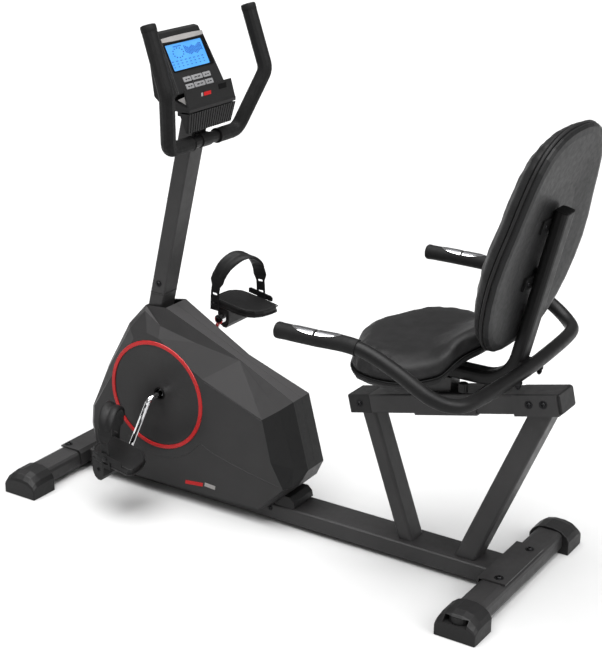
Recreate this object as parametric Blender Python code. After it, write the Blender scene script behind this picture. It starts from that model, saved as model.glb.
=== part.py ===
"""Recumbent exercise bike, built from separate named parts.

Metres.  +Z is up, +X points to the rear (seat and backrest), -X to the front
(pedals and console), -Y is the rider's left.  Lengths below are measured from
the front of the front foot, on the floor; the empty "bike_origin" moves the
whole bike so that the middle of its bounding box stands over the origin.
"""
import math

import bmesh
import bpy
from mathutils import Matrix, Vector

# Whole bike
MIDDLE_X = 0.69674               # middle of the bounding box
GAP = 0.0003                     # clearance between neighbouring parts
RUNNING_FIT = 0.00006            # radial clearance of a turning shaft in its bore

# Floor stabilizers
FOOT_HALF_SPAN = 0.275
FOOT_TUBE_WIDTH = 0.067
FOOT_TUBE_HEIGHT = 0.048
FOOT_TUBE_Z = 0.031              # height of the tube's centre
FOOT_TUBE_HALF = 0.198
FRONT_FOOT_X = 0.0475
REAR_FOOT_X = 1.284
CAP_WIDTH = 0.100
CAP_HEIGHT = 0.062

# Main beam
BEAM_BOTTOM = 0.0107
BEAM_TOP = 0.0520
BEAM_WIDTH = 0.088

# Inclined seat rail: its near bottom edge starts here and climbs to the rear
RAIL_START = (0.8786, 0.3402)
RAIL_PITCH = math.atan(0.2280)
RAIL_LENGTH = 0.5250
RAIL_HEIGHT = 0.0450
RAIL_WIDTH = 0.0700
RAIL_FRONT_CAP = 0.0570

# Seat posts: (x at the beam, lean dx/dz, size along x, width)
FRONT_POST = (1.0050, -0.3460, 0.0375, 0.0560)
REAR_POST = (1.1525, 0.4190, 0.0535, 0.0600)

# Mast
MAST_LEAN = 0.2450
MAST_FRONT_X = 0.2840            # front face at MAST_REF_Z
MAST_REF_Z = 0.4833
MAST_DEPTH = 0.0420
MAST_WIDTH = 0.0540
MAST_JOINT_Z = 0.5230
MAST_TOP_Z = 0.9750

# Crank and pedals
CRANK_X = 0.3380
CRANK_Z = 0.2730
CRANK_THROW = (-0.0600, -0.1550)  # rider's left arm, from the crank centre to its pedal
ARM_BEND_Y = 0.1000
ARM_END_Y = 0.1180
PEDAL_Y = 0.1860                 # middle of the tread
PEDAL_PITCH = math.radians(10.0)
RING_RADIUS = 0.1415
RING_BAND = 0.0100
SHROUD_HALF = 0.0720

# Flywheel drive
FLYWHEEL_X = 0.5600
FLYWHEEL_Z = 0.2000
FLYWHEEL_RADIUS = 0.0900
PULLEY_RADIUS = 0.1000
SMALL_PULLEY_RADIUS = 0.0200
BELT_Y = -0.0440

# Handlebar and console
BAR_RADIUS = 0.0138
FOAM_RADIUS = 0.0175
FOAM_POINTS = 12                 # path points covered by each foam grip
BAR_TIP = (0.4455, 0.1884, 1.2040)
BAR_BEND = (0.4931, 0.1907, 1.0575)
BAR_CORNER = (0.4475, 0.1324, 0.9175)
BAR_FREE = 0.0500                # bare middle of the crossbar, each side
FACE_TILT = math.atan(0.4880)    # display face, leaning back from the vertical
FACE_POINT = (0.3910, 1.1533)    # upper edge of the face (x, z)

# Seat and backrest
SEAT_SEAM_Z = 0.5180
BACK_X = 1.2804                  # backrest seam plane at BACK_REF_Z
BACK_REF_Z = 0.7000
BACK_LEAN = 0.2650
FRAME_DEPTH = 0.0310
FRAME_WIDTH = 0.0480
ARM_RADIUS = 0.0155
REAR_GRIP_RADIUS = 0.0175
BAR_STEPS = 2                    # path steps between the points of the rear bar
TUBE_SIDES = 12
GRIP_SIDES = 14

bpy.context.scene.unit_settings.system = "METRIC"
for leftover in list(bpy.data.objects):
    bpy.data.objects.remove(leftover)


# ---------------------------------------------------------------- materials
def material(name, colour, metallic, roughness):
    made = bpy.data.materials.new(name)
    made.use_nodes = True
    shader = made.node_tree.nodes["Principled BSDF"]
    shader.inputs["Base Color"].default_value = (*colour, 1.0)
    shader.inputs["Metallic"].default_value = metallic
    shader.inputs["Roughness"].default_value = roughness
    return made


PAINT = ((0.030, 0.030, 0.032), 0.0, 0.42)
PLASTIC = ((0.024, 0.024, 0.026), 0.0, 0.52)
GLOSS = ((0.036, 0.036, 0.039), 0.0, 0.32)
FOAM = ((0.020, 0.020, 0.021), 0.0, 0.85)
VINYL = ((0.016, 0.016, 0.017), 0.0, 0.55)
RUBBER = ((0.015, 0.015, 0.015), 0.0, 0.80)
CHROME = ((0.780, 0.780, 0.790), 1.0, 0.12)
STEEL = ((0.420, 0.430, 0.440), 1.0, 0.35)
IRON = ((0.080, 0.080, 0.085), 0.6, 0.55)
SILVER = ((0.560, 0.570, 0.580), 0.4, 0.38)
RED = ((0.600, 0.018, 0.022), 0.0, 0.35)
DISPLAY = ((0.050, 0.340, 0.900), 0.0, 0.20)

# ------------------------------------------------------------------ helpers
origin = bpy.data.objects.new("bike_origin", None)
origin.location = (-MIDDLE_X, 0.0, 0.0)
bpy.context.collection.objects.link(origin)


def mesh_object(name, verts, faces, look, at=(0.0, 0.0, 0.0), crease=35.0):
    """Object whose mesh is given in bike coordinates and whose origin is at `at`."""
    base = Vector(at)
    mesh = bpy.data.meshes.new(name)
    mesh.from_pydata([tuple(Vector(v) - base) for v in verts], [], faces)
    work = bmesh.new()
    work.from_mesh(mesh)
    bmesh.ops.remove_doubles(work, verts=work.verts, dist=1e-6)
    bmesh.ops.recalc_face_normals(work, faces=work.faces)
    work.to_mesh(mesh)
    work.free()
    mesh.shade_smooth()
    mesh.set_sharp_from_angle(angle=math.radians(crease))
    made = bpy.data.objects.new(name, mesh)
    made.location = base
    made.parent = origin
    bpy.context.collection.objects.link(made)
    if look is not None:
        mesh.materials.append(material(name, *look))
    return made


def cutter(name, verts, faces):
    made = mesh_object(name, verts, faces, None)
    made.hide_render = True
    made.display_type = "WIRE"
    return made


def boolean(target, tool, operation):
    mod = target.modifiers.new(operation.lower(), "BOOLEAN")
    mod.operation = operation
    mod.solver = "EXACT"
    mod.object = tool
    return mod


def bevel(target, width, segments=2, angle=40.0):
    mod = target.modifiers.new("bevel", "BEVEL")
    mod.width = width
    mod.segments = segments
    mod.limit_method = "ANGLE"
    mod.angle_limit = math.radians(angle)
    mod.harden_normals = False
    return mod


def circle(radius, count, phase=0.0):
    step = 2 * math.pi / count
    return [(radius * math.cos(i * step + phase), radius * math.sin(i * step + phase))
            for i in range(count)]


def rounded_rect(width, height, radius, steps=3):
    points = []
    corners = ((1, 1, 0), (-1, 1, 90), (-1, -1, 180), (1, -1, 270))
    for sx, sy, start in corners:
        cx = sx * (width / 2 - radius)
        cy = sy * (height / 2 - radius)
        for i in range(steps + 1):
            turn = math.radians(start + 90 * i / steps)
            points.append((cx + radius * math.cos(turn), cy + radius * math.sin(turn)))
    return points


def place_ring(outline, centre, u_axis, v_axis):
    return [Vector(centre) + Vector(u_axis) * u + Vector(v_axis) * v for u, v in outline]


def skin(faces, first, count, around, split=False):
    """Faces between consecutive rings of `around` points starting at vertex `first`."""
    for ring in range(count - 1):
        a = first + ring * around
        b = a + around
        for i in range(around):
            j = (i + 1) % around
            if split:
                faces.append((a + i, a + j, b + j))
                faces.append((a + i, b + j, b + i))
            else:
                faces.append((a + i, a + j, b + j, b + i))


def loft_data(rings, split=False):
    around = len(rings[0])
    verts = [p for ring in rings for p in ring]
    faces = []
    skin(faces, 0, len(rings), around, split)
    faces.append(tuple(reversed(range(around))))
    faces.append(tuple(range((len(rings) - 1) * around, len(rings) * around)))
    return verts, faces


def loft(name, rings, look, at=(0.0, 0.0, 0.0), crease=35.0, split=False):
    """Solid skinned over a list of rings, closed flat at both ends."""
    verts, faces = loft_data(rings, split)
    return mesh_object(name, verts, faces, look, at, crease)


def hollow_data(outer, inner, blind_start=False):
    """Tube wall between outer and inner rings; `blind_start` closes the first end over."""
    around = len(outer[0])
    verts = [p for ring in outer for p in ring]
    faces = []
    skin(faces, 0, len(outer), around)
    base = len(verts)
    verts += [p for ring in inner for p in ring]
    skin(faces, base, len(inner), around)
    last_outer = (len(outer) - 1) * around
    last_inner = base + (len(inner) - 1) * around
    for i in range(around):
        j = (i + 1) % around
        faces.append((last_outer + i, last_outer + j, last_inner + j, last_inner + i))
        if not blind_start:
            faces.append((i, j, base + j, base + i))
    if blind_start:
        faces.append(tuple(range(around)))
        faces.append(tuple(range(base, base + around)))
    return verts, faces


def hollow(name, outer, inner, look, at=(0.0, 0.0, 0.0), blind_start=False, crease=35.0):
    verts, faces = hollow_data(outer, inner, blind_start)
    return mesh_object(name, verts, faces, look, at, crease)


def frames_along(path, side=(0.0, 1.0, 0.0)):
    """(point, u, v) for each path point; u starts near `side` and is carried along."""
    frames = []
    u = Vector(side)
    for i, point in enumerate(path):
        before = path[max(i - 1, 0)]
        after = path[min(i + 1, len(path) - 1)]
        tangent = (after - before).normalized()
        u = (u - tangent * u.dot(tangent)).normalized()
        frames.append((point, u, tangent.cross(u)))
    return frames


def rings_along(path, outline, side=(0.0, 1.0, 0.0)):
    return [place_ring(outline, p, u, v) for p, u, v in frames_along(path, side)]


def smooth_path(points, per_span):
    """Catmull-Rom curve through the points."""
    pts = [Vector(p) for p in points]
    pts = [pts[0] * 2 - pts[1]] + pts + [pts[-1] * 2 - pts[-2]]
    path = []
    for i in range(1, len(pts) - 2):
        p0, p1, p2, p3 = pts[i - 1:i + 3]
        for k in range(per_span):
            t = k / per_span
            path.append(0.5 * (2 * p1 + (p2 - p0) * t + (2 * p0 - 5 * p1 + 4 * p2 - p3) * t ** 2
                               + (3 * p1 - p0 - 3 * p2 + p3) * t ** 3))
    path.append(pts[-2])
    return path


def filleted(points, radii, steps=6):
    """Polyline with its inner corners rounded to arcs of the given radii."""
    pts = [Vector(p) for p in points]
    path = [pts[0]]
    for before, corner, after, radius in zip(pts, pts[1:], pts[2:], radii):
        if not radius:
            path.append(corner)
            continue
        a = (before - corner).normalized()
        b = (after - corner).normalized()
        half = a.angle(b) / 2
        reach = radius / math.tan(half)
        centre = corner + (a + b).normalized() * (radius / math.sin(half))
        start = corner + a * reach - centre
        sweep = math.pi - 2 * half
        axis = start.cross(corner + b * reach - centre).normalized()
        for i in range(steps + 1):
            path.append(centre + Matrix.Rotation(sweep * i / steps, 3, axis) @ start)
    path.append(pts[-1])
    return path


AXES = {
    "X": (Vector((0, 1, 0)), Vector((0, 0, 1)), Vector((1, 0, 0))),
    "Y": (Vector((0, 0, 1)), Vector((1, 0, 0)), Vector((0, 1, 0))),
    "Z": (Vector((1, 0, 0)), Vector((0, 1, 0)), Vector((0, 0, 1))),
}


def turned_data(profile, centre, axis, segments):
    """Solid of revolution: `profile` is a closed loop of (radius, height along the axis)."""
    u, v, w = AXES[axis] if isinstance(axis, str) else axis
    c = Vector(centre)
    verts = []
    index = []
    for radius, along in profile:
        if radius < 1e-9:
            index.append([len(verts)] * segments)
            verts.append(c + w * along)
        else:
            index.append(list(range(len(verts), len(verts) + segments)))
            verts += [c + w * along + u * p + v * q for p, q in circle(radius, segments)]
    faces = []
    for k in range(len(profile)):
        a = index[k]
        b = index[(k + 1) % len(profile)]
        if a[0] == a[1] and b[0] == b[1]:
            continue
        for i in range(segments):
            j = (i + 1) % segments
            quad = []
            for vertex in (a[i], a[j], b[j], b[i]):
                if vertex not in quad:
                    quad.append(vertex)
            faces.append(tuple(quad))
    return verts, faces


def turned(name, profile, centre, axis, look, segments=48, crease=35.0):
    verts, faces = turned_data(profile, centre, axis, segments)
    return mesh_object(name, verts, faces, look, centre, crease)


def cylinder_profile(radius, low, high, bore=0.0):
    return [(bore, low), (radius, low), (radius, high), (bore, high)]


def prism_data(outline, low, high, axis="Y"):
    """Outline extruded along an axis; the outline is (x, z), (y, z) or (x, y)."""
    spots = {"Y": lambda a, b, t: (a, t, b), "X": lambda a, b, t: (t, a, b),
             "Z": lambda a, b, t: (a, b, t)}[axis]
    around = len(outline)
    verts = [spots(a, b, low) for a, b in outline] + [spots(a, b, high) for a, b in outline]
    faces = [tuple(range(around)), tuple(range(around, 2 * around))]
    skin(faces, 0, 2, around)
    return verts, faces


def prism(name, outline, low, high, look, axis="Y", at=(0.0, 0.0, 0.0), crease=35.0):
    verts, faces = prism_data(outline, low, high, axis)
    return mesh_object(name, verts, faces, look, at, crease)


def box_data(low, high):
    outline = [(low[0], low[2]), (high[0], low[2]), (high[0], high[2]), (low[0], high[2])]
    return prism_data(outline, low[1], high[1])


SIDES = (("left", -1), ("right", 1))


# --------------------------------------------------------- floor stabilizers
def foot_tube(name, centre_x):
    outer = rounded_rect(FOOT_TUBE_WIDTH, FOOT_TUBE_HEIGHT, 0.014)
    inner = rounded_rect(FOOT_TUBE_WIDTH - 0.004, FOOT_TUBE_HEIGHT - 0.004, 0.012)
    rings = [[place_ring(o, (centre_x, y, FOOT_TUBE_Z), (1, 0, 0), (0, 0, 1))
              for y in (-FOOT_TUBE_HALF, FOOT_TUBE_HALF)] for o in (outer, inner)]
    return hollow(name, rings[0], rings[1], PAINT)


CAP_SECTION = ((0.0500, 0.0000), (0.0500, 0.0340), (0.0440, 0.0450), (0.0300, 0.0560),
               (0.0120, 0.0610))


def foot_cap(name, centre_x, sign):
    """Moulded end cap: domed across its width and falling away at the outer end."""
    half = [(x, z) for x, z in CAP_SECTION]
    outline = half + [(-x, z) for x, z in reversed(half)]
    rings = []
    for y, tall, wide in ((FOOT_TUBE_HALF + GAP, 1.0, 1.0), (0.2430, 1.0, 1.0),
                          (0.2620, 0.93, 0.995), (0.2720, 0.76, 0.985),
                          (FOOT_HALF_SPAN, 0.66, 0.96)):
        rings.append([Vector((centre_x + a * wide * CAP_WIDTH / 0.1, sign * y, b * tall))
                      for a, b in outline])
    made = loft(name, rings, PLASTIC, crease=22.0)
    bevel(made, 0.0012, 2, 30.0)
    return made


foot_tube("front_stabilizer", FRONT_FOOT_X)
foot_tube("rear_stabilizer", REAR_FOOT_X)
LEVELLER_Z = 0.0440
LEVELLER_Y = 0.2450
STUB_RADIUS = 0.0040
for side, sign in SIDES:
    foot_cap("front_foot_cap_" + side, FRONT_FOOT_X, sign)
    cap = foot_cap("rear_foot_cap_" + side, REAR_FOOT_X, sign)
    near, far = sorted((sign * 0.2190, sign * 0.2850))
    boolean(cap, cutter("leveller_slot_" + side,
                        *box_data((REAR_FOOT_X - 0.028, near, LEVELLER_Z - 0.0080),
                                  (REAR_FOOT_X + 0.028, far, LEVELLER_Z + 0.0080))),
            "DIFFERENCE")
    leveller_at = (REAR_FOOT_X, sign * LEVELLER_Y, LEVELLER_Z)
    boolean(cap, cutter("leveller_bore_" + side, *turned_data(
        cylinder_profile(STUB_RADIUS + RUNNING_FIT, -0.0420, 0.0130), leveller_at, "Z", 24)),
        "DIFFERENCE")
    knurl = []
    for i, (c, s) in enumerate(circle(1.0, 48)):
        radius = 0.0250 if i % 2 else 0.0243
        knurl.append((REAR_FOOT_X + radius * c, sign * LEVELLER_Y + radius * s))
    wheel = prism("levelling_wheel_" + side, knurl, LEVELLER_Z - 0.0070, LEVELLER_Z + 0.0070,
                  PLASTIC, "Z", leveller_at)
    boolean(wheel, cutter("leveller_stud_" + side, *turned_data(
        cylinder_profile(STUB_RADIUS, -0.0400, 0.0120), leveller_at, "Z", 24)), "UNION")

# ---------------------------------------------------------------- main beam
FOOT_TOP = FOOT_TUBE_Z + FOOT_TUBE_HEIGHT / 2
PLATE = 0.0045
FLANGE_LOW = 0.0200
front_flange = FRONT_FOOT_X + FOOT_TUBE_WIDTH / 2 + GAP
rear_flange = REAR_FOOT_X - FOOT_TUBE_WIDTH / 2 - GAP
beam_z = (BEAM_BOTTOM + BEAM_TOP) / 2
beam_ends = (front_flange + 0.003, rear_flange - 0.003)
beam_walls = []
for wall in (0.0, 0.002):
    outline = rounded_rect(BEAM_WIDTH - 2 * wall, BEAM_TOP - BEAM_BOTTOM - 2 * wall, 0.006 - wall)
    beam_walls.append([place_ring(outline, (x, 0, beam_z), (0, 1, 0), (0, 0, 1))
                       for x in beam_ends])
beam = hollow("main_beam", beam_walls[0], beam_walls[1], PAINT)
front_plate = cutter("front_plate", *prism_data(
    [(FRONT_FOOT_X - 0.0300, FOOT_TOP + GAP), (front_flange, FOOT_TOP + GAP),
     (front_flange, FLANGE_LOW), (front_flange + 0.004, FLANGE_LOW),
     (front_flange + 0.004, FOOT_TOP - 0.004), (front_flange - 0.004, FOOT_TOP + PLATE),
     (FRONT_FOOT_X - 0.0300, FOOT_TOP + PLATE)], -0.0800, 0.0800))
rear_plate = cutter("rear_plate", *prism_data(
    [(REAR_FOOT_X + 0.0315, FOOT_TOP + GAP), (REAR_FOOT_X + 0.0315, FOOT_TOP + PLATE),
     (rear_flange - 0.002, FOOT_TOP + PLATE), (rear_flange - 0.004, FOOT_TOP + 0.0015),
     (rear_flange - 0.004, FLANGE_LOW), (rear_flange, FLANGE_LOW),
     (rear_flange, FOOT_TOP + GAP)], -0.0980, 0.0980))
boolean(beam, front_plate, "UNION")
boolean(beam, rear_plate, "UNION")

# ------------------------------------------------------- seat posts and rail
rail_dir = Vector((math.cos(RAIL_PITCH), 0.0, math.sin(RAIL_PITCH)))
rail_up = Vector((-math.sin(RAIL_PITCH), 0.0, math.cos(RAIL_PITCH)))
rail_base = Vector((RAIL_START[0], 0.0, RAIL_START[1]))
POST_FLOOR = BEAM_TOP + GAP


def rail_point(along, height):
    return rail_base + rail_dir * along + rail_up * height


def rail_bottom_z(x, drop=GAP):
    return RAIL_START[1] + (x - RAIL_START[0]) * math.tan(RAIL_PITCH) - drop


def seat_post(name, foot_x, lean, depth, width, drop):
    """Box tube cut level on the beam and to the rail's slope at the top."""
    walls = []
    for wall in (0.0, 0.002):
        outline = rounded_rect(depth - 2 * wall, width - 2 * wall, 0.007 - wall)
        centre = foot_x + depth / 2
        low = [Vector((centre + a, b, POST_FLOOR)) for a, b in outline]
        high = []
        for a, b in outline:
            slope = math.tan(RAIL_PITCH)
            start = centre + a
            z = (rail_bottom_z(start, drop) - lean * slope * POST_FLOOR) / (1 - lean * slope)
            high.append(Vector((start + lean * (z - POST_FLOOR), b, z)))
        walls.append([low, high])
    return hollow(name, walls[0], walls[1], PAINT)


RAIL_SADDLE_WALL = 0.0025
seat_post("front_seat_post", *FRONT_POST, GAP)
rear_post = seat_post("rear_seat_post", *REAR_POST, RAIL_SADDLE_WALL / 2)


def rail_section(name, start, end, look, grow=0.0, wall=0.0025):
    outer = rounded_rect(RAIL_WIDTH + 2 * grow, RAIL_HEIGHT + 2 * grow, 0.004)
    inner = rounded_rect(RAIL_WIDTH - 2 * wall, RAIL_HEIGHT - 2 * wall, 0.002)
    rings = []
    for outline in (outer, inner):
        rings.append([place_ring(outline, rail_point(s, RAIL_HEIGHT / 2), (0, 1, 0), rail_up)
                      for s in (start, end)])
    return hollow(name, rings[0], rings[1], look)


rail_section("seat_rail", RAIL_FRONT_CAP + GAP, RAIL_LENGTH, PAINT)
front_cap = loft("rail_front_cap",
                 [place_ring(rounded_rect(RAIL_WIDTH, RAIL_HEIGHT, 0.004),
                             rail_point(s, RAIL_HEIGHT / 2), (0, 1, 0), rail_up)
                  for s in (0.0, RAIL_FRONT_CAP)], PLASTIC)
bevel(front_cap, 0.0015)
loft("rail_rear_cap",
     [place_ring(rounded_rect(RAIL_WIDTH + g, RAIL_HEIGHT + g, 0.005),
                 rail_point(s, RAIL_HEIGHT / 2), (0, 1, 0), rail_up)
      for s, g in ((RAIL_LENGTH + GAP, 0.0), (RAIL_LENGTH + 0.004, 0.0),
                   (RAIL_LENGTH + 0.006, -0.003))], PLASTIC)


def channel(outer_half, outer_low, wall, tall):
    """U outline (y, height) open at the top."""
    return [(-outer_half, tall), (-outer_half, outer_low), (outer_half, outer_low),
            (outer_half, tall), (outer_half - wall, tall), (outer_half - wall, outer_low + wall),
            (-outer_half + wall, outer_low + wall), (-outer_half + wall, tall)]


saddle_half = RAIL_WIDTH / 2 + GAP + RAIL_SADDLE_WALL
rail_saddle = loft_data([
    place_ring(channel(saddle_half, -GAP - RAIL_SADDLE_WALL, RAIL_SADDLE_WALL, 0.0440),
               rail_point(s, 0.0), (0, 1, 0), rail_up)
    for s in (RAIL_LENGTH - 0.1060, RAIL_LENGTH - 0.0010)])
boolean(rear_post, cutter("rail_saddle", *rail_saddle), "UNION")

# ------------------------------------------------------------------ carriage
CARRIAGE_START = 0.1720
CARRIAGE_LENGTH = 0.1560
CARRIAGE_WALL = 0.0030
SLIDE_GAP = 0.0004
carriage_at = rail_point(CARRIAGE_START + CARRIAGE_LENGTH / 2, RAIL_HEIGHT / 2)
sleeve = []
for grow in (SLIDE_GAP + CARRIAGE_WALL, SLIDE_GAP):
    outline = rounded_rect(RAIL_WIDTH + 2 * grow, RAIL_HEIGHT + 2 * grow, 0.004)
    sleeve.append([place_ring(outline, rail_point(s, RAIL_HEIGHT / 2), (0, 1, 0), rail_up)
                   for s in (CARRIAGE_START, CARRIAGE_START + CARRIAGE_LENGTH)])
carriage = hollow("seat_carriage", sleeve[0], sleeve[1], PAINT, carriage_at)

frame_bottom_z = 0.4770
frame_mid_z = frame_bottom_z + FRAME_DEPTH / 2


def sleeve_top_z(x):
    rise = (RAIL_HEIGHT + SLIDE_GAP + CARRIAGE_WALL) / math.cos(RAIL_PITCH)
    return rail_bottom_z(x, 0.0) + rise + GAP


block = cutter("carriage_block", *prism_data(
    [(1.0450, sleeve_top_z(1.0450) - 0.0015), (1.1250, sleeve_top_z(1.1250) - 0.0015),
     (1.1250, frame_bottom_z - GAP), (1.0450, frame_bottom_z - GAP)], -0.0220, 0.0220))
boolean(carriage, block, "UNION")

KNOB_AT = (1.1600, -0.0300)
knob_low = sleeve_top_z(KNOB_AT[0] + 0.0105)
knob_ribs = []
for i, (c, s) in enumerate(circle(1.0, 48)):
    radius = 0.0105 if i % 4 < 2 else 0.0096
    knob_ribs.append((KNOB_AT[0] + radius * c, KNOB_AT[1] + radius * s))
prism("seat_lock_knob", knob_ribs, knob_low, frame_bottom_z - 0.0006, PLASTIC, "Z",
      (*KNOB_AT, knob_low))

# ------------------------------------------------------------ bent seat frame
back_dir = Vector((BACK_LEAN, 0.0, 1.0)).normalized()
back_out = Vector((-1.0, 0.0, BACK_LEAN)).normalized()   # towards the rider


def back_plane_x(z):
    return BACK_X + BACK_LEAN * (z - BACK_REF_Z)


def frame_x(z):
    """Centre line of the frame's upright."""
    return 1.3455 + 0.2485 * (z - 0.7700) - FRAME_DEPTH / 2 * 1.03


frame_path = filleted([(0.9600, 0.0, frame_mid_z), (frame_x(frame_mid_z), 0.0, frame_mid_z),
                       (frame_x(0.8880), 0.0, 0.8880)], [0.0850], 7)
frame_rings = [rings_along(frame_path, rounded_rect(FRAME_WIDTH - 2 * w, FRAME_DEPTH - 2 * w,
                                                    0.0105 - w)) for w in (0.0, 0.002)]
seat_frame = hollow("seat_frame", frame_rings[0], frame_rings[1], PAINT, carriage_at)
# ---------------------------------------------------------------- seat pads
SEAT_OUTLINE = (
    (0.9010, 0.000, 0.5180), (0.9050, 0.040, 0.5180), (0.9230, 0.087, 0.5180),
    (0.9410, 0.134, 0.5180), (0.9610, 0.171, 0.5180), (0.9880, 0.197, 0.5180),
    (1.0240, 0.210, 0.5180), (1.0620, 0.212, 0.5180), (1.0900, 0.206, 0.5185),
    (1.1150, 0.192, 0.5195), (1.1370, 0.174, 0.5225), (1.1560, 0.164, 0.5280),
    (1.1700, 0.156, 0.5350), (1.1790, 0.143, 0.5450), (1.1860, 0.127, 0.5560),
    (1.1930, 0.106, 0.5650), (1.2020, 0.084, 0.5710), (1.2110, 0.060, 0.5750),
    (1.2160, 0.030, 0.5770), (1.2180, 0.000, 0.5780))
SEAT_CENTRE = Vector((1.0600, 0.0, SEAT_SEAM_Z))


def closed_outline(half):
    """Mirror a half outline given from the centre line round to the centre line."""
    return ([Vector(p) for p in half]
            + [Vector((x, -y, z)) for x, y, z in reversed(half[1:-1])])


def pad_rings(outline, centre, centre_height, layers, direction, floor):
    """Rings shrunk towards `centre`; each layer is (scale, height along direction)."""
    rings = []
    for scale, height in layers:
        ring = []
        for point in outline:
            spot = centre + (point - centre) * scale
            spot = floor(spot, point, scale)
            ring.append(spot + direction * height * centre_height)
        rings.append(ring)
    return rings


def seat_floor(spot, point, scale):
    """Seam height at the rim, easing to the pan's own curve inside."""
    reach = max(0.0, (spot.x - 1.1000) / 0.1180)
    inner = SEAT_SEAM_Z + 0.0600 * reach ** 1.6
    blend = scale ** 3
    return Vector((spot.x, spot.y, point.z * blend + inner * (1 - blend)))


UP = Vector((0.0, 0.0, 1.0))
seat_outline = closed_outline(SEAT_OUTLINE)
pad_under = ((0.20, 0.0), (0.60, 0.0), (0.85, 0.0), (1.0, 0.0))
pad_over = ((1.0, 0.40), (0.985, 0.66), (0.945, 0.85), (0.86, 0.96), (0.60, 1.03), (0.25, 1.03))
seat_rings = (pad_rings(seat_outline, SEAT_CENTRE, 0.0455, pad_under, UP, seat_floor)
              + pad_rings(seat_outline, SEAT_CENTRE, 0.0455, pad_over, UP, seat_floor))
loft("seat_cushion", seat_rings, VINYL, carriage_at, 60.0, True)
shell_layers = ((0.20, -GAP), (0.60, -GAP), (0.85, -GAP), (1.0, -GAP), (1.004, -0.0060),
                (0.985, -0.0130), (0.93, -0.0100), (0.60, -0.0095), (0.20, -0.0095))
loft("seat_shell", pad_rings(seat_outline, SEAT_CENTRE, 1.0, shell_layers, UP, seat_floor),
     PLASTIC, carriage_at, 50.0, True)

# ------------------------------------------------------------ backrest pads
BACK_HALF_WIDTHS = (
    (0.5880, 0.0), (0.5880, 0.040), (0.5895, 0.070), (0.5950, 0.096), (0.6060, 0.122),
    (0.6250, 0.148), (0.6500, 0.170), (0.6850, 0.190), (0.7300, 0.204), (0.7800, 0.210),
    (0.8300, 0.203), (0.8800, 0.188), (0.9300, 0.176), (0.9700, 0.164), (1.0000, 0.151),
    (1.0250, 0.134), (1.0430, 0.112), (1.0560, 0.084), (1.0640, 0.052), (1.0670, 0.020),
    (1.0672, 0.0))
back_outline = closed_outline([(back_plane_x(z), y, z) for z, y in BACK_HALF_WIDTHS])
BACK_CENTRE = Vector((back_plane_x(0.8200), 0.0, 0.8200))


def back_floor(spot, point, scale):
    return spot


back_layers = ((0.20, 0.0), (1.0, 0.0), (1.0, 0.40), (0.985, 0.64), (0.945, 0.84),
               (0.86, 0.95), (0.60, 1.02), (0.25, 1.02))
loft("back_cushion",
     pad_rings(back_outline, BACK_CENTRE, 0.0390, back_layers, back_out, back_floor),
     VINYL, carriage_at, 60.0)
back_shell_layers = ((0.20, -GAP), (0.98, -GAP), (1.002, -0.0030), (1.006, -0.0080),
                     (0.985, -0.0135), (0.93, -0.0150), (0.80, -0.0140), (0.50, -0.0090),
                     (0.20, -0.0090))
loft("back_shell",
     pad_rings(back_outline, BACK_CENTRE, 1.0, back_shell_layers, back_out, back_floor),
     PLASTIC, carriage_at, 50.0)


def shell_back_x(z):
    return back_plane_x(z) + 0.0090 / back_dir.z + GAP


def frame_front_x(z):
    return frame_x(z) - FRAME_DEPTH / 2 * 1.031


for name, height in (("lower", 0.7330), ("upper", 0.8610)):
    low = height - 0.0140
    high = height + 0.0140
    bracket = cutter("back_bracket_" + name, *prism_data(
        [(shell_back_x(low), low), (frame_front_x(low) + 0.001, low),
         (frame_front_x(high) + 0.001, high), (shell_back_x(high), high)], -0.0560, 0.0560))
    boolean(seat_frame, bracket, "UNION")

# --------------------------------------------------------- rear U handlebar
REAR_BAR = (
    (0.8774, 0.3240, 0.6330), (0.9604, 0.3235, 0.6330), (1.0417, 0.3180, 0.6324),
    (1.0936, 0.3160, 0.6212), (1.1565, 0.3150, 0.5947), (1.2180, 0.3110, 0.5600),
    (1.2450, 0.3020, 0.5460), (1.2690, 0.2830, 0.5370), (1.2865, 0.2530, 0.5345),
    (1.2945, 0.1700, 0.5345), (1.3010, 0.0000, 0.5350))
half_bar = [(x, -y, z) for x, y, z in REAR_BAR]
whole_bar = half_bar + [(x, -y, z) for x, y, z in reversed(half_bar[:-1])]
bar_path = smooth_path(whole_bar, BAR_STEPS)
hollow("rear_handlebar", rings_along(bar_path, circle(ARM_RADIUS, TUBE_SIDES), (0, 0, 1)),
       rings_along(bar_path, circle(ARM_RADIUS - 0.0022, TUBE_SIDES), (0, 0, 1)), PAINT,
       carriage_at)
arm_clearance = cutter("arm_clearance", *loft_data(
    rings_along(bar_path, circle(ARM_RADIUS + GAP, TUBE_SIDES), (0, 0, 1))))
middle_path = [p for p in bar_path if abs(p.y) < 0.0900]
bar_sleeve = cutter("bar_sleeve", *loft_data(
    rings_along(middle_path, circle(ARM_RADIUS + 0.0026, TUBE_SIDES), (0, 0, 1))))
bar_web = cutter("bar_web", *box_data((1.2660, -0.0220, 0.5200), (1.2950, 0.0220, 0.5490)))
boolean(seat_frame, bar_sleeve, "UNION")
boolean(seat_frame, bar_web, "UNION")
boolean(seat_frame, arm_clearance, "DIFFERENCE")

GRIP_SPANS = 2 * BAR_STEPS       # path steps covered by each hand grip
PLATE_HALF_ANGLE = math.radians(46.0)
PLATE_SPAN = (0.9140, 1.0240)


def along_x(path, x):
    """Point of the polyline where it passes x."""
    for a, b in zip(path, path[1:]):
        if a.x <= x <= b.x:
            return a.lerp(b, (x - a.x) / (b.x - a.x))
    return path[-1]


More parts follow.
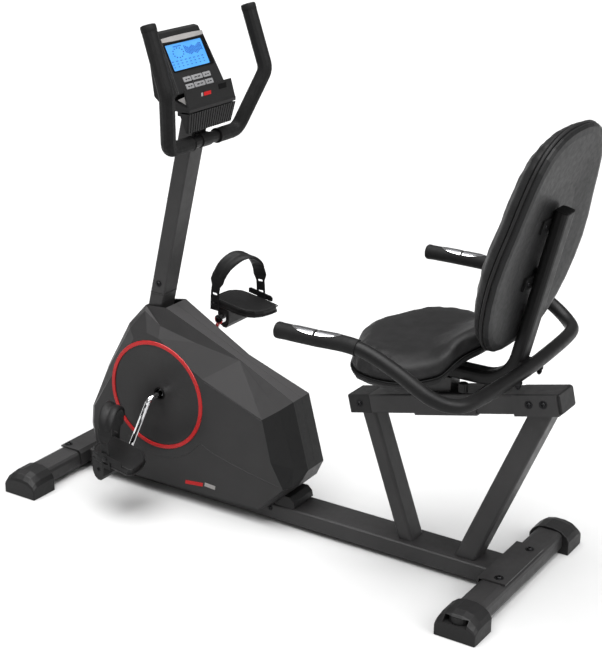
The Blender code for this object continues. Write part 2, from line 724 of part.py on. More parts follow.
def pulse_plate(name, path, start, end):
    """Thin metal plate hugging the top of the grip: two leaves joined at a waist."""
    count = 17
    spots = [along_x(path, start + (end - start) * i / (count - 1)) for i in range(count)]
    rings = []
    for i, (spot, u, v) in enumerate(frames_along(spots, (0, 0, 1))):
        t = abs(2 * i / (count - 1) - 1)
        half = PLATE_HALF_ANGLE * (0.14 + 0.86 * math.sin(t * math.pi) ** 0.6 if t < 0.999
                                   else 0.14)
        outer = []
        inner = []
        for k in range(5):
            turn = half * (2 * k / 4 - 1)
            for radius, row in ((REAR_GRIP_RADIUS + 0.0012, outer),
                                (REAR_GRIP_RADIUS + 2 * GAP, inner)):
                row.append(spot + u * radius * math.cos(turn) + v * radius * math.sin(turn))
        rings.append(outer + list(reversed(inner)))
    return loft(name, rings, CHROME, carriage_at)


for side, sign in SIDES:
    path = bar_path if sign < 0 else list(reversed(bar_path))
    path = path[:GRIP_SPANS + 1]
    start = (path[1] - path[0]).normalized()
    outer_path = [path[0] - start * 0.0035] + path[1:]
    inner_path = [path[0] - start * GAP] + path[1:]
    outer = rings_along(outer_path, circle(REAR_GRIP_RADIUS, GRIP_SIDES), (0, 0, 1))
    rim = rings_along([outer_path[0], outer_path[1]], circle(REAR_GRIP_RADIUS - 0.002, GRIP_SIDES),
                      (0, 0, 1))[0]
    shoulder = rings_along([outer_path[0] + start * 0.002, outer_path[1]],
                           circle(REAR_GRIP_RADIUS, GRIP_SIDES), (0, 0, 1))[0]
    inner = rings_along(inner_path, circle(ARM_RADIUS + 2 * GAP, GRIP_SIDES), (0, 0, 1))
    hollow("rear_grip_" + side, [rim, shoulder] + outer[1:], inner, FOAM, carriage_at, True)
    pulse_plate("pulse_plate_" + side, outer_path, *PLATE_SPAN)


# ---------------------------------------------------------------------- mast
def mast_x(z):
    """Front face of the mast and of the foot tube below it."""
    return MAST_FRONT_X + MAST_LEAN * (z - MAST_REF_Z)


def mast_tube(name, low, high, look=PAINT, wall=0.002, grow=0.0):
    rings = []
    for inset in (-grow, wall):
        outline = rounded_rect(MAST_DEPTH - 2 * inset, MAST_WIDTH - 2 * inset, 0.006 - wall)
        rings.append([[Vector((mast_x(z) + MAST_DEPTH / 2 + a, b, z)) for a, b in outline]
                      for z in (low, high)])
    return hollow(name, rings[0], rings[1], look, crease=30.0)


mast_tube("mast_foot", BEAM_TOP + GAP, MAST_JOINT_Z - GAP)
mast_tube("mast", MAST_JOINT_Z, MAST_TOP_Z - GAP)

# ------------------------------------------------------------ front handlebar
bar_half = [(BAR_TIP[0], -BAR_TIP[1], BAR_TIP[2]), (BAR_BEND[0], -BAR_BEND[1], BAR_BEND[2]),
            (BAR_CORNER[0], -BAR_CORNER[1], BAR_CORNER[2])]
bar_half += [(BAR_CORNER[0], -BAR_FREE, BAR_CORNER[2])]
bar_points = bar_half + [(x, -y, z) for x, y, z in reversed(bar_half)]
front_path = filleted(bar_points, [0.040, 0.030, 0.0, 0.0, 0.030, 0.040], 4)
hollow("front_handlebar", rings_along(front_path, circle(BAR_RADIUS, TUBE_SIDES)),
       rings_along(front_path, circle(BAR_RADIUS - 0.002, TUBE_SIDES)), PAINT)
bar_clearance = cutter("bar_clearance", *loft_data(
    rings_along(front_path, circle(BAR_RADIUS + GAP, TUBE_SIDES))))
for side, sign in SIDES:
    path = front_path if sign < 0 else list(reversed(front_path))
    path = path[:FOAM_POINTS]
    start = (path[1] - path[0]).normalized()
    outer = rings_along([path[0] - start * 0.0035, path[0] - start * 0.0015] + path[1:],
                        circle(FOAM_RADIUS, GRIP_SIDES))
    rim = rings_along([path[0] - start * 0.0035, path[1]], circle(FOAM_RADIUS - 0.002, GRIP_SIDES))[0]
    inner = rings_along([path[0] - start * GAP] + path[1:], circle(BAR_RADIUS + 2 * GAP, GRIP_SIDES))
    hollow("front_grip_" + side, [rim] + outer[1:], inner, FOAM, blind_start=True)

saddle = [(mast_x(z) + MAST_DEPTH + 0.0004, z) for z in (0.9350, 0.9000)]
for i in range(9):
    turn = math.radians(-100.0 + 25.0 * i)
    saddle.append((BAR_CORNER[0] + 0.0162 * math.cos(turn),
                   BAR_CORNER[2] + 0.0162 * math.sin(turn)))
clamp = prism("handlebar_clamp", saddle, -0.0180, 0.0180, PLASTIC)
boolean(clamp, bar_clearance, "DIFFERENCE")

# -------------------------------------------------------------------- console
face_down = Vector((math.sin(FACE_TILT), 0.0, -math.cos(FACE_TILT)))
face_out = Vector((math.cos(FACE_TILT), 0.0, math.sin(FACE_TILT)))
face_top = Vector((FACE_POINT[0], 0.0, FACE_POINT[1]))
FACE_LENGTH = 0.1285
FACE_THICKNESS = 0.0030


def face_spot(down, across, out):
    return face_top + face_down * down + Vector((0.0, across, 0.0)) + face_out * out


def face_block(outline, low, high):
    """Rings of an outline (down, across) lying in the face, between two depths."""
    return [[face_spot(a, b, out) for a, b in outline] for out in (low, high)]


def console_half_width(z):
    """Half width of the housing, narrower at the top and below the tray."""
    if z > 1.0400:
        return 0.0900 - (z - 1.0400) * 0.0985
    if z > 1.0000:
        return 0.0900
    return 0.0820 + (z - 0.9494) * 0.1500


def flank_data(outline):
    """Solid with a side profile in (x, z) whose width follows the housing."""
    left = [Vector((x, -console_half_width(z), z)) for x, z in outline]
    right = [Vector((v.x, -v.y, v.z)) for v in left]
    return loft_data([left, right])


def flank(name, outline, look):
    return mesh_object(name, *flank_data(outline), look)


face_back = face_spot(0.0, 0.0, -FACE_THICKNESS - GAP)
face_foot = face_spot(FACE_LENGTH, 0.0, -FACE_THICKNESS - GAP)
housing = flank("console_housing",
                [(face_back.x, face_back.z), (face_foot.x, face_foot.z), (0.4318, 1.0240),
                 (0.4318, 1.0080), (0.3900, 1.0140), (0.3760, 1.0260), (0.3530, 1.1400),
                 (0.3560, 1.1600), (0.3680, 1.1690), (0.3810, 1.1665)], PLASTIC)
bevel(housing, 0.0020, 2, 18.0)
apron = cutter("console_apron", *flank_data(
    [(0.4725, 0.9950), (0.4628, 0.9494), (0.4598, 0.9494), (0.4466, 0.9950)]))
neck = cutter("console_neck", *prism_data(
    [(0.4040, MAST_TOP_Z + GAP), (0.4600, MAST_TOP_Z + GAP), (0.4600, 0.9945), (0.4315, 0.9965),
     (0.4315, 1.0300), (0.4040, 1.0300)], -0.0400, 0.0400))
boolean(housing, neck, "UNION")
boolean(housing, apron, "UNION")

top_half = console_half_width(FACE_POINT[1]) - 0.0010
low_half = 0.0880
face_outline = [(0.0, -top_half), (0.0, top_half), (FACE_LENGTH, low_half),
                (FACE_LENGTH, -low_half)]
face = loft("console_face", face_block(face_outline, -FACE_THICKNESS, 0.0), GLOSS)
bevel(face, 0.0008)
SCREEN = (0.0140, 0.0756, 0.0680)   # top and bottom along the face, half width
SCREEN_ACROSS = -0.0044
window = [((SCREEN[0] + SCREEN[1]) / 2 + a, SCREEN_ACROSS + b)
          for a, b in rounded_rect(SCREEN[1] - SCREEN[0], 2 * SCREEN[2], 0.003, 2)]
boolean(face, cutter("screen_window", [p for r in face_block(window, -0.02, 0.02) for p in r],
                     prism_data(window, 0, 1)[1]), "DIFFERENCE")
lens = [((SCREEN[0] + SCREEN[1]) / 2 + a, SCREEN_ACROSS + b)
        for a, b in rounded_rect(SCREEN[1] - SCREEN[0] - 2 * GAP, 2 * SCREEN[2] - 2 * GAP,
                                 0.0028, 2)]
loft("display_lens", face_block(lens, -FACE_THICKNESS, -0.0012), DISPLAY)

BUTTON_HEIGHT = 0.0120
BUTTON_ROWS = (("upper", 0.0993), ("lower", 0.1165))
BUTTON_COLUMNS = (("left", -0.0405, 0.0280), ("middle", -0.0036, 0.0395),
                  ("right", 0.0333, 0.0280))
for row, down in BUTTON_ROWS:
    for column, across, width in BUTTON_COLUMNS:
        name = row + "_" + column
        hole = [(down + a, across + b)
                for a, b in rounded_rect(BUTTON_HEIGHT + 0.0006, width + 0.0006, 0.0020, 2)]
        boolean(face, cutter("button_hole_" + name,
                             [p for r in face_block(hole, -0.02, 0.02) for p in r],
                             prism_data(hole, 0, 1)[1]), "DIFFERENCE")
        rings = []
        for out, shrink in ((-0.0014, 0.0), (0.0009, 0.0), (0.0015, 0.0010)):
            outline = rounded_rect(BUTTON_HEIGHT - shrink, width - shrink, 0.0017, 2)
            rings.append([face_spot(down + a, across + b, out) for a, b in outline])
        loft("button_" + name, rings, SILVER, face_spot(down, across, 0.0))

TRAY_HALF = 0.0893
tray = prism("console_tray",
             [(0.4333, 1.0240), (0.4333, 0.9990), (0.4765, 0.9985), (0.4768, 1.0056),
              (0.4743, 1.0110), (0.4640, 1.0495), (0.4612, 1.0487), (0.4706, 1.0135),
              (0.4690, 1.0105), (0.4560, 1.0135)],
             -TRAY_HALF, TRAY_HALF, PLASTIC)

PANEL_RIBS = 19
panel_rings = []
for front_x, z in ((0.4768, 0.9957), (0.4668, 0.9494)):
    half = console_half_width(z) - 0.0003
    pitch = 2 * half / PANEL_RIBS
    ring = []
    for rib in range(PANEL_RIBS):
        low = -half + rib * pitch
        for across, depth in ((0.0, 0.0), (0.55, 0.0), (0.60, 0.0018), (0.95, 0.0018)):
            ring.append(Vector((front_x - depth, low + across * pitch, z)))
    ring.append(Vector((front_x, half, z)))
    ring.append(Vector((front_x - 0.0038, half, z)))
    ring.append(Vector((front_x - 0.0038, -half, z)))
    panel_rings.append(ring)
loft("ribbed_panel", panel_rings, PLASTIC)

# --------------------------------------------------------------------- shroud
# Corners of each half: (x, z, half width) on the ridge, on the shoulder and on the flat side
SHROUD_STATIONS = (
    ((0.1280, 0.0540, 0.050), (0.1320, 0.0450, 0.062), (0.1420, 0.0330)),
    ((0.1100, 0.1400, 0.050), (0.1150, 0.1420, 0.062), (0.1280, 0.1500)),
    ((0.1130, 0.1880, 0.050), (0.1200, 0.1900, 0.062), (0.1340, 0.1970)),
    ((0.1700, 0.3110, 0.050), (0.1780, 0.3080, 0.062), (0.2000, 0.3000)),
    ((0.2430, 0.4380, 0.050), (0.2520, 0.4280, 0.060), (0.2720, 0.4080)),
    ((0.2800, 0.4860, 0.030), (0.2920, 0.4780, 0.048), (0.3150, 0.4320)),
    ((0.3510, 0.4950, 0.040), (0.3450, 0.4520, 0.057), (0.3500, 0.4250)),
    ((0.4530, 0.4460, 0.030), (0.4400, 0.4230, 0.042), (0.4300, 0.3750)),
    ((0.5560, 0.3970, 0.020), (0.5560, 0.3950, 0.021), (0.4800, 0.3470)),
    ((0.7190, 0.3290, 0.034), (0.6900, 0.3060, 0.052), (0.6550, 0.2820)),
    ((0.7400, 0.2460, 0.034), (0.7110, 0.2400, 0.052), (0.6670, 0.2290)),
    ((0.7610, 0.1630, 0.034), (0.7320, 0.1660, 0.052), (0.6790, 0.1760)),
    ((0.7380, 0.1190, 0.040), (0.7280, 0.1170, 0.056), (0.7140, 0.1140)),
    ((0.6680, 0.0540, 0.050), (0.6560, 0.0480, 0.061), (0.6400, 0.0420)))
SHROUD_WALL = 0.0025
HUB_SIDES = 48
MAST_OPENING = 5                 # no ridge strip between this station and the next

hub_bore = cutter("hub_opening", *turned_data(cylinder_profile(0.1360, -0.2, 0.2),
                                              (CRANK_X, 0.0, CRANK_Z), "Y", HUB_SIDES))
for side, sign in SIDES:
    verts = []
    for ridge, shoulder, flat in SHROUD_STATIONS:
        verts.append(Vector((ridge[0], sign * GAP / 2, ridge[1])))
        verts.append(Vector((ridge[0], sign * ridge[2], ridge[1])))
        verts.append(Vector((shoulder[0], sign * shoulder[2], shoulder[1])))
        verts.append(Vector((flat[0], sign * SHROUD_HALF, flat[1])))
    faces = []
    for i in range(len(SHROUD_STATIONS) - 1):
        for strip in range(3):
            if strip == 0 and i == MAST_OPENING:
                continue
            a = 4 * i + strip
            faces.append((a, a + 1, a + 5, a + 4))
    faces.append(tuple(4 * i + 3 for i in range(len(SHROUD_STATIONS))))
    shell = mesh_object("shroud_" + side, verts, faces, PLASTIC, crease=20.0)
    bm = bmesh.new()
    bm.from_mesh(shell.data)
    flat_face = max(bm.faces, key=lambda f: f.calc_area())
    if flat_face.normal.y * sign < 0:
        bmesh.ops.reverse_faces(bm, faces=bm.faces)
    bm.to_mesh(shell.data)
    bm.free()
    wall = shell.modifiers.new("wall", "SOLIDIFY")
    wall.thickness = SHROUD_WALL
    wall.offset = -1.0
    wall.use_even_offset = True
    boolean(shell, hub_bore, "DIFFERENCE")

    ring = [(0.1315, 0.0723), (0.1320, 0.0745), (RING_RADIUS - 0.0010, 0.0742),
            (RING_RADIUS, 0.0723)]
    turned("shroud_ring_" + side, [(r, sign * h) for r, h in ring],
           (CRANK_X, 0.0, CRANK_Z), "Y", RED, HUB_SIDES)
    dish = [(0.0125, 0.0575), (0.0600, 0.0615), (0.1250, 0.0696), (0.1380, 0.0697),
            (0.1380, 0.0716), (0.1250, 0.0716), (0.0600, 0.0638), (0.0125, 0.0598)]
    boolean(shell, cutter("hub_cover_" + side, *turned_data(
        [(r, sign * h) for r, h in dish], (CRANK_X, 0.0, CRANK_Z), "Y", HUB_SIDES)), "UNION")

# ---------------------------------------------------------------------- crank
crank_at = Vector((CRANK_X, 0.0, CRANK_Z))
AXLE_RADIUS = 0.0080
AXLE_HALF = 0.0550
HOUSING_HALF = 0.0320
turned("crank_axle", cylinder_profile(AXLE_RADIUS, -AXLE_HALF, AXLE_HALF), crank_at, "Y", STEEL,
       24)
housing = turned("crank_housing", cylinder_profile(0.0250, -HOUSING_HALF, HOUSING_HALF,
                                                  AXLE_RADIUS + RUNNING_FIT),
                 crank_at, "Y", PAINT, 32)
leg = cutter("housing_leg", *box_data((CRANK_X - 0.0150, -0.0300, POST_FLOOR),
                                      (CRANK_X + 0.0150, 0.0300, CRANK_Z - 0.0225)))
boolean(housing, leg, "UNION")
SPINDLE_RADIUS = 0.0060
ARM_RADIUS_CRANK = 0.0068
EYE_RADIUS = 0.0125
PEDAL_INNER = 0.1340
PEDAL_OUTER = 0.2320
STRAP_REACH = {"left": 0.0260, "right": 0.0455}   # how far back the outer leg sits
# Tread seen from above: (towards the rear, from the inner edge outwards)
PEDAL_PLAN = ((-0.0670, 0.0120), (-0.0630, 0.0030), (-0.0550, 0.0000), (0.0180, 0.0000),
              (0.0400, 0.0060), (0.0570, 0.0200), (0.0680, 0.0420), (0.0730, 0.0660),
              (0.0740, 0.0880), (0.0660, 0.0980), (-0.0300, 0.0980), (-0.0510, 0.0900),
              (-0.0640, 0.0720), (-0.0670, 0.0500))
PEDAL_WEB = ((-0.0210, 0.0290), (-0.0200, -0.0080), (-0.0140, -0.0220), (-0.0040, -0.0290),
             (0.0050, -0.0290), (0.0120, -0.0180), (0.0140, 0.0000), (0.0160, 0.0240))
throw = Vector((CRANK_THROW[0], 0.0, CRANK_THROW[1]))
for side, sign in SIDES:
    eye = crank_at - throw * sign + Vector((0.0, sign * ARM_END_Y, 0.0))
    reach = eye - (crank_at + Vector((0.0, sign * ARM_BEND_Y, 0.0)))
    path = filleted([crank_at + Vector((0.0, sign * (AXLE_HALF + GAP), 0.0)),
                     crank_at + Vector((0.0, sign * ARM_BEND_Y, 0.0)),
                     eye - reach.normalized() * 0.0095], [0.018], 6)
    arm = loft("crank_arm_" + side, rings_along(path, circle(ARM_RADIUS_CRANK, 14), reach),
               CHROME, crank_at)
    boss = cutter("crank_eye_" + side, *turned_data(
        cylinder_profile(EYE_RADIUS, -0.0068, 0.0068), eye, "Y", 24))
    boolean(arm, boss, "UNION")

    spindle_at = Vector((eye.x, sign * PEDAL_Y, eye.z))
    steps = [(0.0, 0.1105), (SPINDLE_RADIUS, 0.1105), (SPINDLE_RADIUS, 0.1252),
             (0.0090, 0.1252), (0.0090, 0.1300), (SPINDLE_RADIUS, 0.1300),
             (SPINDLE_RADIUS, 0.2240), (0.0, 0.2240)]
    boolean(arm, cutter("pedal_spindle_" + side, *turned_data(
        [(r, sign * (h - PEDAL_Y)) for r, h in steps], spindle_at, "Y", 20)), "UNION")

    # Tread, hub and counterweight of one pedal
    tilt = Vector((math.cos(PEDAL_PITCH), 0.0, -math.sin(PEDAL_PITCH)))
    lift = Vector((math.sin(PEDAL_PITCH), 0.0, math.cos(PEDAL_PITCH)))
    tread = Vector((eye.x + 0.0260, 0.0, eye.z + 0.0255))
    rings = []
    for height, scale in ((-0.0100, 0.96), (-0.0070, 1.0), (0.0065, 1.0), (0.0095, 0.965)):
        ring = []
        for ahead, out in PEDAL_PLAN:
            spot = tread + tilt * ahead * scale + lift * height
            middle = (PEDAL_INNER + PEDAL_OUTER) / 2
            spot.y = sign * (middle + (PEDAL_INNER + out - middle) * scale)
            ring.append(spot)
        rings.append(ring)
    pedal = loft("pedal_" + side, rings, PLASTIC, spindle_at)
    spans = sorted((sign * (PEDAL_INNER + 0.002), sign * (PEDAL_OUTER - 0.002)))
    web = [(eye.x + a, eye.z + b) for a, b in PEDAL_WEB]
    boolean(pedal, cutter("pedal_web_" + side, *prism_data(web, spans[0], spans[1])), "UNION")
    bore = turned_data(cylinder_profile(SPINDLE_RADIUS + RUNNING_FIT, -0.0700, 0.0700), spindle_at,
                       "Y", 24)
    boolean(pedal, cutter("pedal_bore_" + side, *bore), "DIFFERENCE")

    # Foot strap, a slotted band arched over the tread
    inner_y = PEDAL_INNER - GAP - 0.0013
    outer_y = PEDAL_OUTER + GAP + 0.0013
    arch = []
    reach = STRAP_REACH[side]
    for ahead, out, height in ((-0.0280, inner_y, 0.0140), (-0.0260, inner_y, 0.0500),
                               (-0.0220, inner_y, 0.0780), (-0.0150, inner_y + 0.003, 0.1050),
                               (-0.0020, inner_y + 0.017, 0.1320),
                               (0.3000 * reach, (inner_y + outer_y) / 2 - 0.012, 0.1490),
                               (0.5800 * reach, (inner_y + outer_y) / 2 + 0.012, 0.1500),
                               (0.8200 * reach, outer_y - 0.016, 0.1340),
                               (0.9200 * reach, outer_y - 0.003, 0.1080),
                               (0.9600 * reach, outer_y, 0.0780), (reach, outer_y, 0.0400),
                               (reach + 0.0010, outer_y, 0.0100)):
        arch.append(Vector((eye.x + ahead, sign * out, eye.z + height)))
    band = []
    for spot, ahead, out in frames_along(smooth_path(arch, 2)):
        along = ahead.cross(out)
        across = (tilt - along * tilt.dot(along)).normalized()
        wider = min(max((spot.z - eye.z - 0.0780) / 0.0120, 0.0), 1.0)
        band.append(place_ring(rounded_rect(0.0260 + 0.0140 * wider, 0.0026, 0.0010, 1), spot,
                               across, along.cross(across)))
    loft("pedal_strap_" + side, band, RUBBER, spindle_at, 50.0)

# ------------------------------------------------------------- flywheel drive
fly_at = Vector((FLYWHEEL_X, 0.0, FLYWHEEL_Z))
turned("flywheel", [(0.0062, -0.0120), (0.0220, -0.0120), (0.0240, -0.0080), (0.0700, -0.0080),
                    (0.0720, -0.0120), (FLYWHEEL_RADIUS, -0.0120), (FLYWHEEL_RADIUS, 0.0120),
                    (0.0062, 0.0120)], fly_at, "Y", IRON, 32)
turned("flywheel_axle", [(0.0, -0.0550), (0.0060, -0.0550), (0.0060, -0.0490),
                         (0.0215, -0.0490), (0.0215, -0.0482), (SMALL_PULLEY_RADIUS, -0.0482),
                         (SMALL_PULLEY_RADIUS, -0.0398), (0.0215, -0.0398), (0.0215, -0.0390),
                         (0.0060, -0.0390), (0.0060, 0.0300), (0.0, 0.0300)],
       fly_at, "Y", STEEL, 20)
turned("drive_pulley", [(AXLE_RADIUS + 0.0002, -0.0490), (0.1015, -0.0490), (0.1015, -0.0482),
                        (PULLEY_RADIUS, -0.0482), (PULLEY_RADIUS, -0.0398), (0.1015, -0.0398),
                        (0.1015, -0.0390), (AXLE_RADIUS + 0.0002, -0.0390)],
       crank_at, "Y", PLASTIC, 32)


def belt_loop(extra):
    """Outline of a belt around both pulleys, `extra` outside their rims."""
    big = PULLEY_RADIUS + extra
    small = SMALL_PULLEY_RADIUS + extra
    span = fly_at - crank_at
    heading = math.atan2(span.z, span.x)
    lean = math.acos((big - small) / span.length)
    outline = []
    for centre, radius, start, end, steps in (
            (crank_at, big, heading + lean, heading + 2 * math.pi - lean, 28),
            (fly_at, small, heading - lean, heading + lean, 8)):
        for i in range(steps + 1):
            turn = start + (end - start) * i / steps
            outline.append((centre.x + radius * math.cos(turn),
                            centre.z + radius * math.sin(turn)))
    return outline


belt_rings = [[[Vector((x, y, z)) for x, z in belt_loop(extra)] for y in (-0.0480, -0.0400)]
              for extra in (0.0024, 0.0004)]
hollow("drive_belt", belt_rings[0], belt_rings[1], RUBBER)

ear = 0.0040
bracket = loft("flywheel_bracket",
               [[Vector((x, y, z + POST_FLOOR)) for y, z in channel(0.0200 + ear, 0.0, ear, 0.1720)]
                for x in (FLYWHEEL_X - 0.0240, FLYWHEEL_X + 0.0240)], PAINT)
boolean(bracket, cutter("flywheel_bore", *turned_data(
    cylinder_profile(0.0060 + RUNNING_FIT, -0.0400, 0.0400), fly_at, "Y", 24)), "DIFFERENCE")
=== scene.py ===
"""Looks of the recumbent exercise bike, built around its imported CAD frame.

Metres, +Z up, +X to the rear, -Y is the rider's left.  Positions in bike
coordinates are measured from the front of the front foot, as in the CAD;
`at` turns them into the frame's own coordinates.
"""
import math

import bmesh
import bpy
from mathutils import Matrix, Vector
from mathutils.kdtree import KDTree


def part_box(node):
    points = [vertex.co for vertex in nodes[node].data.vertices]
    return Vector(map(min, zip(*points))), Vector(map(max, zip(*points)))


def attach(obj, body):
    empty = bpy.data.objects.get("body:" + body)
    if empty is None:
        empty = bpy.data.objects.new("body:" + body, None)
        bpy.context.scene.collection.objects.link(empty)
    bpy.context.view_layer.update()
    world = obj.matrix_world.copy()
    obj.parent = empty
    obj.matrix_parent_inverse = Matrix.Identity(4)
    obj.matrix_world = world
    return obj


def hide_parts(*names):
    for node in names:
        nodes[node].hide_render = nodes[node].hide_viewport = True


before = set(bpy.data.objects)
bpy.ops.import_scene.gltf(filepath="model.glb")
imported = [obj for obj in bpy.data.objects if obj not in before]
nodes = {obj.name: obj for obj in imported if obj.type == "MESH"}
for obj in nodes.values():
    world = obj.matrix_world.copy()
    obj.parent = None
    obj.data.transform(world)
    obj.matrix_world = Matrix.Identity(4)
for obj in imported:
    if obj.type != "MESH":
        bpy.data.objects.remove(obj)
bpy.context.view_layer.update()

MIDDLE_X = 0.69674               # bike x = frame x + MIDDLE_X
FACE_TILT = math.atan(0.4880)    # console face, leaning back from the vertical
BACK_LEAN = 0.2650               # backrest, mast and seat frame: x gained per unit of height
MAST_LEAN = 0.2450
FRAME_LEAN = 0.2485
FRAME_DEPTH = 0.0310
PEDAL_PITCH = math.radians(10.0)
SIDES = (("left", -1), ("right", 1))


# ---------------------------------------------------------------- materials
def start_look(name, metallic=0.0, specular=0.5):
    """New Principled material: itself, its tree, its shader and object coordinates."""
    made = bpy.data.materials.new(name)
    made.use_nodes = True
    tree = made.node_tree
    shader = tree.nodes["Principled BSDF"]
    shader.inputs["Metallic"].default_value = metallic
    shader.inputs["Specular IOR Level"].default_value = specular
    spot = tree.nodes.new("ShaderNodeTexCoord").outputs["Object"]
    return made, tree, shader, spot


def stretch(tree, spot, scale):
    mapping = tree.nodes.new("ShaderNodeMapping")
    mapping.inputs["Scale"].default_value = scale
    tree.links.new(spot, mapping.inputs["Vector"])
    return mapping.outputs["Vector"]


def noise(tree, spot, scale, detail=3.0, distortion=0.0):
    made = tree.nodes.new("ShaderNodeTexNoise")
    made.inputs["Scale"].default_value = scale
    made.inputs["Detail"].default_value = detail
    made.inputs["Distortion"].default_value = distortion
    tree.links.new(spot, made.inputs["Vector"])
    return made.outputs["Fac"]


def cells(tree, spot, scale, feature="F1"):
    made = tree.nodes.new("ShaderNodeTexVoronoi")
    made.feature = feature
    made.inputs["Scale"].default_value = scale
    tree.links.new(spot, made.inputs["Vector"])
    return made.outputs["Distance"]


def remap(tree, value, low, high, out_low, out_high):
    made = tree.nodes.new("ShaderNodeMapRange")
    made.inputs["From Min"].default_value = low
    made.inputs["From Max"].default_value = high
    made.inputs["To Min"].default_value = out_low
    made.inputs["To Max"].default_value = out_high
    tree.links.new(value, made.inputs["Value"])
    return made.outputs["Result"]


def mixed(tree, factor, first, second):
    """Colour blend; each colour is a tuple or another node's output."""
    made = tree.nodes.new("ShaderNodeMix")
    made.data_type = "RGBA"
    tree.links.new(factor, made.inputs["Factor"])
    for value, socket in ((first, made.inputs[6]), (second, made.inputs[7])):
        if isinstance(value, tuple):
            socket.default_value = (*value, 1.0)
        else:
            tree.links.new(value, socket)
    return made.outputs[2]


def maths(tree, operation, first, second):
    made = tree.nodes.new("ShaderNodeMath")
    made.operation = operation
    for value, socket in ((first, made.inputs[0]), (second, made.inputs[1])):
        if isinstance(value, float):
            socket.default_value = value
        else:
            tree.links.new(value, socket)
    return made.outputs[0]


def bump(tree, height, strength, distance, before=None):
    made = tree.nodes.new("ShaderNodeBump")
    made.inputs["Strength"].default_value = strength
    made.inputs["Distance"].default_value = distance
    tree.links.new(height, made.inputs["Height"])
    if before is not None:
        tree.links.new(before, made.inputs["Normal"])
    return made.outputs["Normal"]


def tinted(colour, factor):
    return tuple(channel * factor for channel in colour)


def powder_coat(name, colour, specular=0.32):
    """Semi-matt powder coat: orange peel, cloudy tone and a few worn scuffs."""
    made, tree, shader, spot = start_look(name, specular=specular)
    cloud = remap(tree, noise(tree, spot, 7.0, 4.0), 0.35, 0.65, 0.0, 1.0)
    scuff = remap(tree, noise(tree, stretch(tree, spot, (30.0, 30.0, 9.0)), 4.0, 6.0, 1.2),
                  0.66, 0.74, 0.0, 0.35)
    base = mixed(tree, cloud, tinted(colour, 0.82), tinted(colour, 1.20))
    base = mixed(tree, scuff, base, tinted(colour, 2.1))
    tree.links.new(base, shader.inputs["Base Color"])
    rough = remap(tree, noise(tree, spot, 55.0, 5.0), 0.3, 0.7, 0.38, 0.50)
    tree.links.new(maths(tree, "ADD", rough, maths(tree, "MULTIPLY", scuff, 0.25)),
                   shader.inputs["Roughness"])
    peel = bump(tree, noise(tree, spot, 420.0, 1.0), 0.22, 0.0004)
    tree.links.new(bump(tree, noise(tree, spot, 1900.0, 1.0), 0.12, 0.0002, peel),
                   shader.inputs["Normal"])
    return made


def moulded(name, colour, rough, grain=1500.0, depth=0.20, specular=0.30, painted_rear_shade=None):
    """Injection-moulded plastic with a spark-eroded grain; `painted_rear_shade` darkens rear-facing
    planes as painted shade, and upward planes are then paler, as painted light from above."""
    made, tree, shader, spot = start_look(name, specular=specular)
    cloud = remap(tree, noise(tree, spot, 11.0, 3.0), 0.3, 0.7, 0.0, 1.0)
    base = mixed(tree, cloud, tinted(colour, 0.86), tinted(colour, 1.14))
    fine = cells(tree, spot, grain)
    base = mixed(tree, remap(tree, fine, 0.1, 0.6, 0.0, 0.35), base, tinted(colour, 0.72))
    if painted_rear_shade is not None:
        parts = tree.nodes.new("ShaderNodeSeparateXYZ")
        tree.links.new(tree.nodes["Texture Coordinate"].outputs["Normal"], parts.inputs[0])
        # painted shade: rear-facing planes that face neither up nor down take the darker colour
        rear = remap(tree, parts.outputs["X"], 0.28, 0.34, 0.0, 1.0)
        not_top = remap(tree, parts.outputs["Z"], 0.36, 0.44, 1.0, 0.0)
        not_low = remap(tree, parts.outputs["Z"], -0.24, -0.16, 0.0, 1.0)
        upright = maths(tree, "MULTIPLY", not_top, not_low)
        base = mixed(tree, maths(tree, "MULTIPLY", rear, upright), base, painted_rear_shade)
        # painted light: upward-facing planes are made paler, standing in for light from above
        painted_top_light = remap(tree, parts.outputs["Z"], 0.30, 0.75, 0.0, 1.0)
        base = mixed(tree, painted_top_light, base, tinted(colour, 1.8))
    tree.links.new(base, shader.inputs["Base Color"])
    tree.links.new(remap(tree, noise(tree, spot, 90.0, 4.0), 0.3, 0.7, rough - 0.05, rough + 0.06),
                   shader.inputs["Roughness"])
    coarse = bump(tree, noise(tree, spot, 160.0, 2.0), 0.06, 0.0005)
    tree.links.new(bump(tree, fine, depth, 0.0003, coarse), shader.inputs["Normal"])
    return made


def foam_look(name, colour):
    """Closed-cell foam sleeve: matt, pitted, with a little dust on its swells."""
    made, tree, shader, spot = start_look(name, specular=0.18)
    pits = cells(tree, spot, 780.0)
    base = mixed(tree, remap(tree, pits, 0.1, 0.7, 0.0, 1.0), tinted(colour, 1.35),
                 tinted(colour, 0.60))
    base = mixed(tree, remap(tree, noise(tree, spot, 24.0, 5.0), 0.55, 0.75, 0.0, 0.5), base,
                 tinted(colour, 1.9))
    tree.links.new(base, shader.inputs["Base Color"])
    tree.links.new(remap(tree, noise(tree, spot, 120.0, 3.0), 0.3, 0.7, 0.56, 0.72),
                   shader.inputs["Roughness"])
    swell = bump(tree, noise(tree, spot, 130.0, 3.0), 0.18, 0.0008)
    tree.links.new(bump(tree, pits, 0.55, 0.0004, swell), shader.inputs["Normal"])
    return made


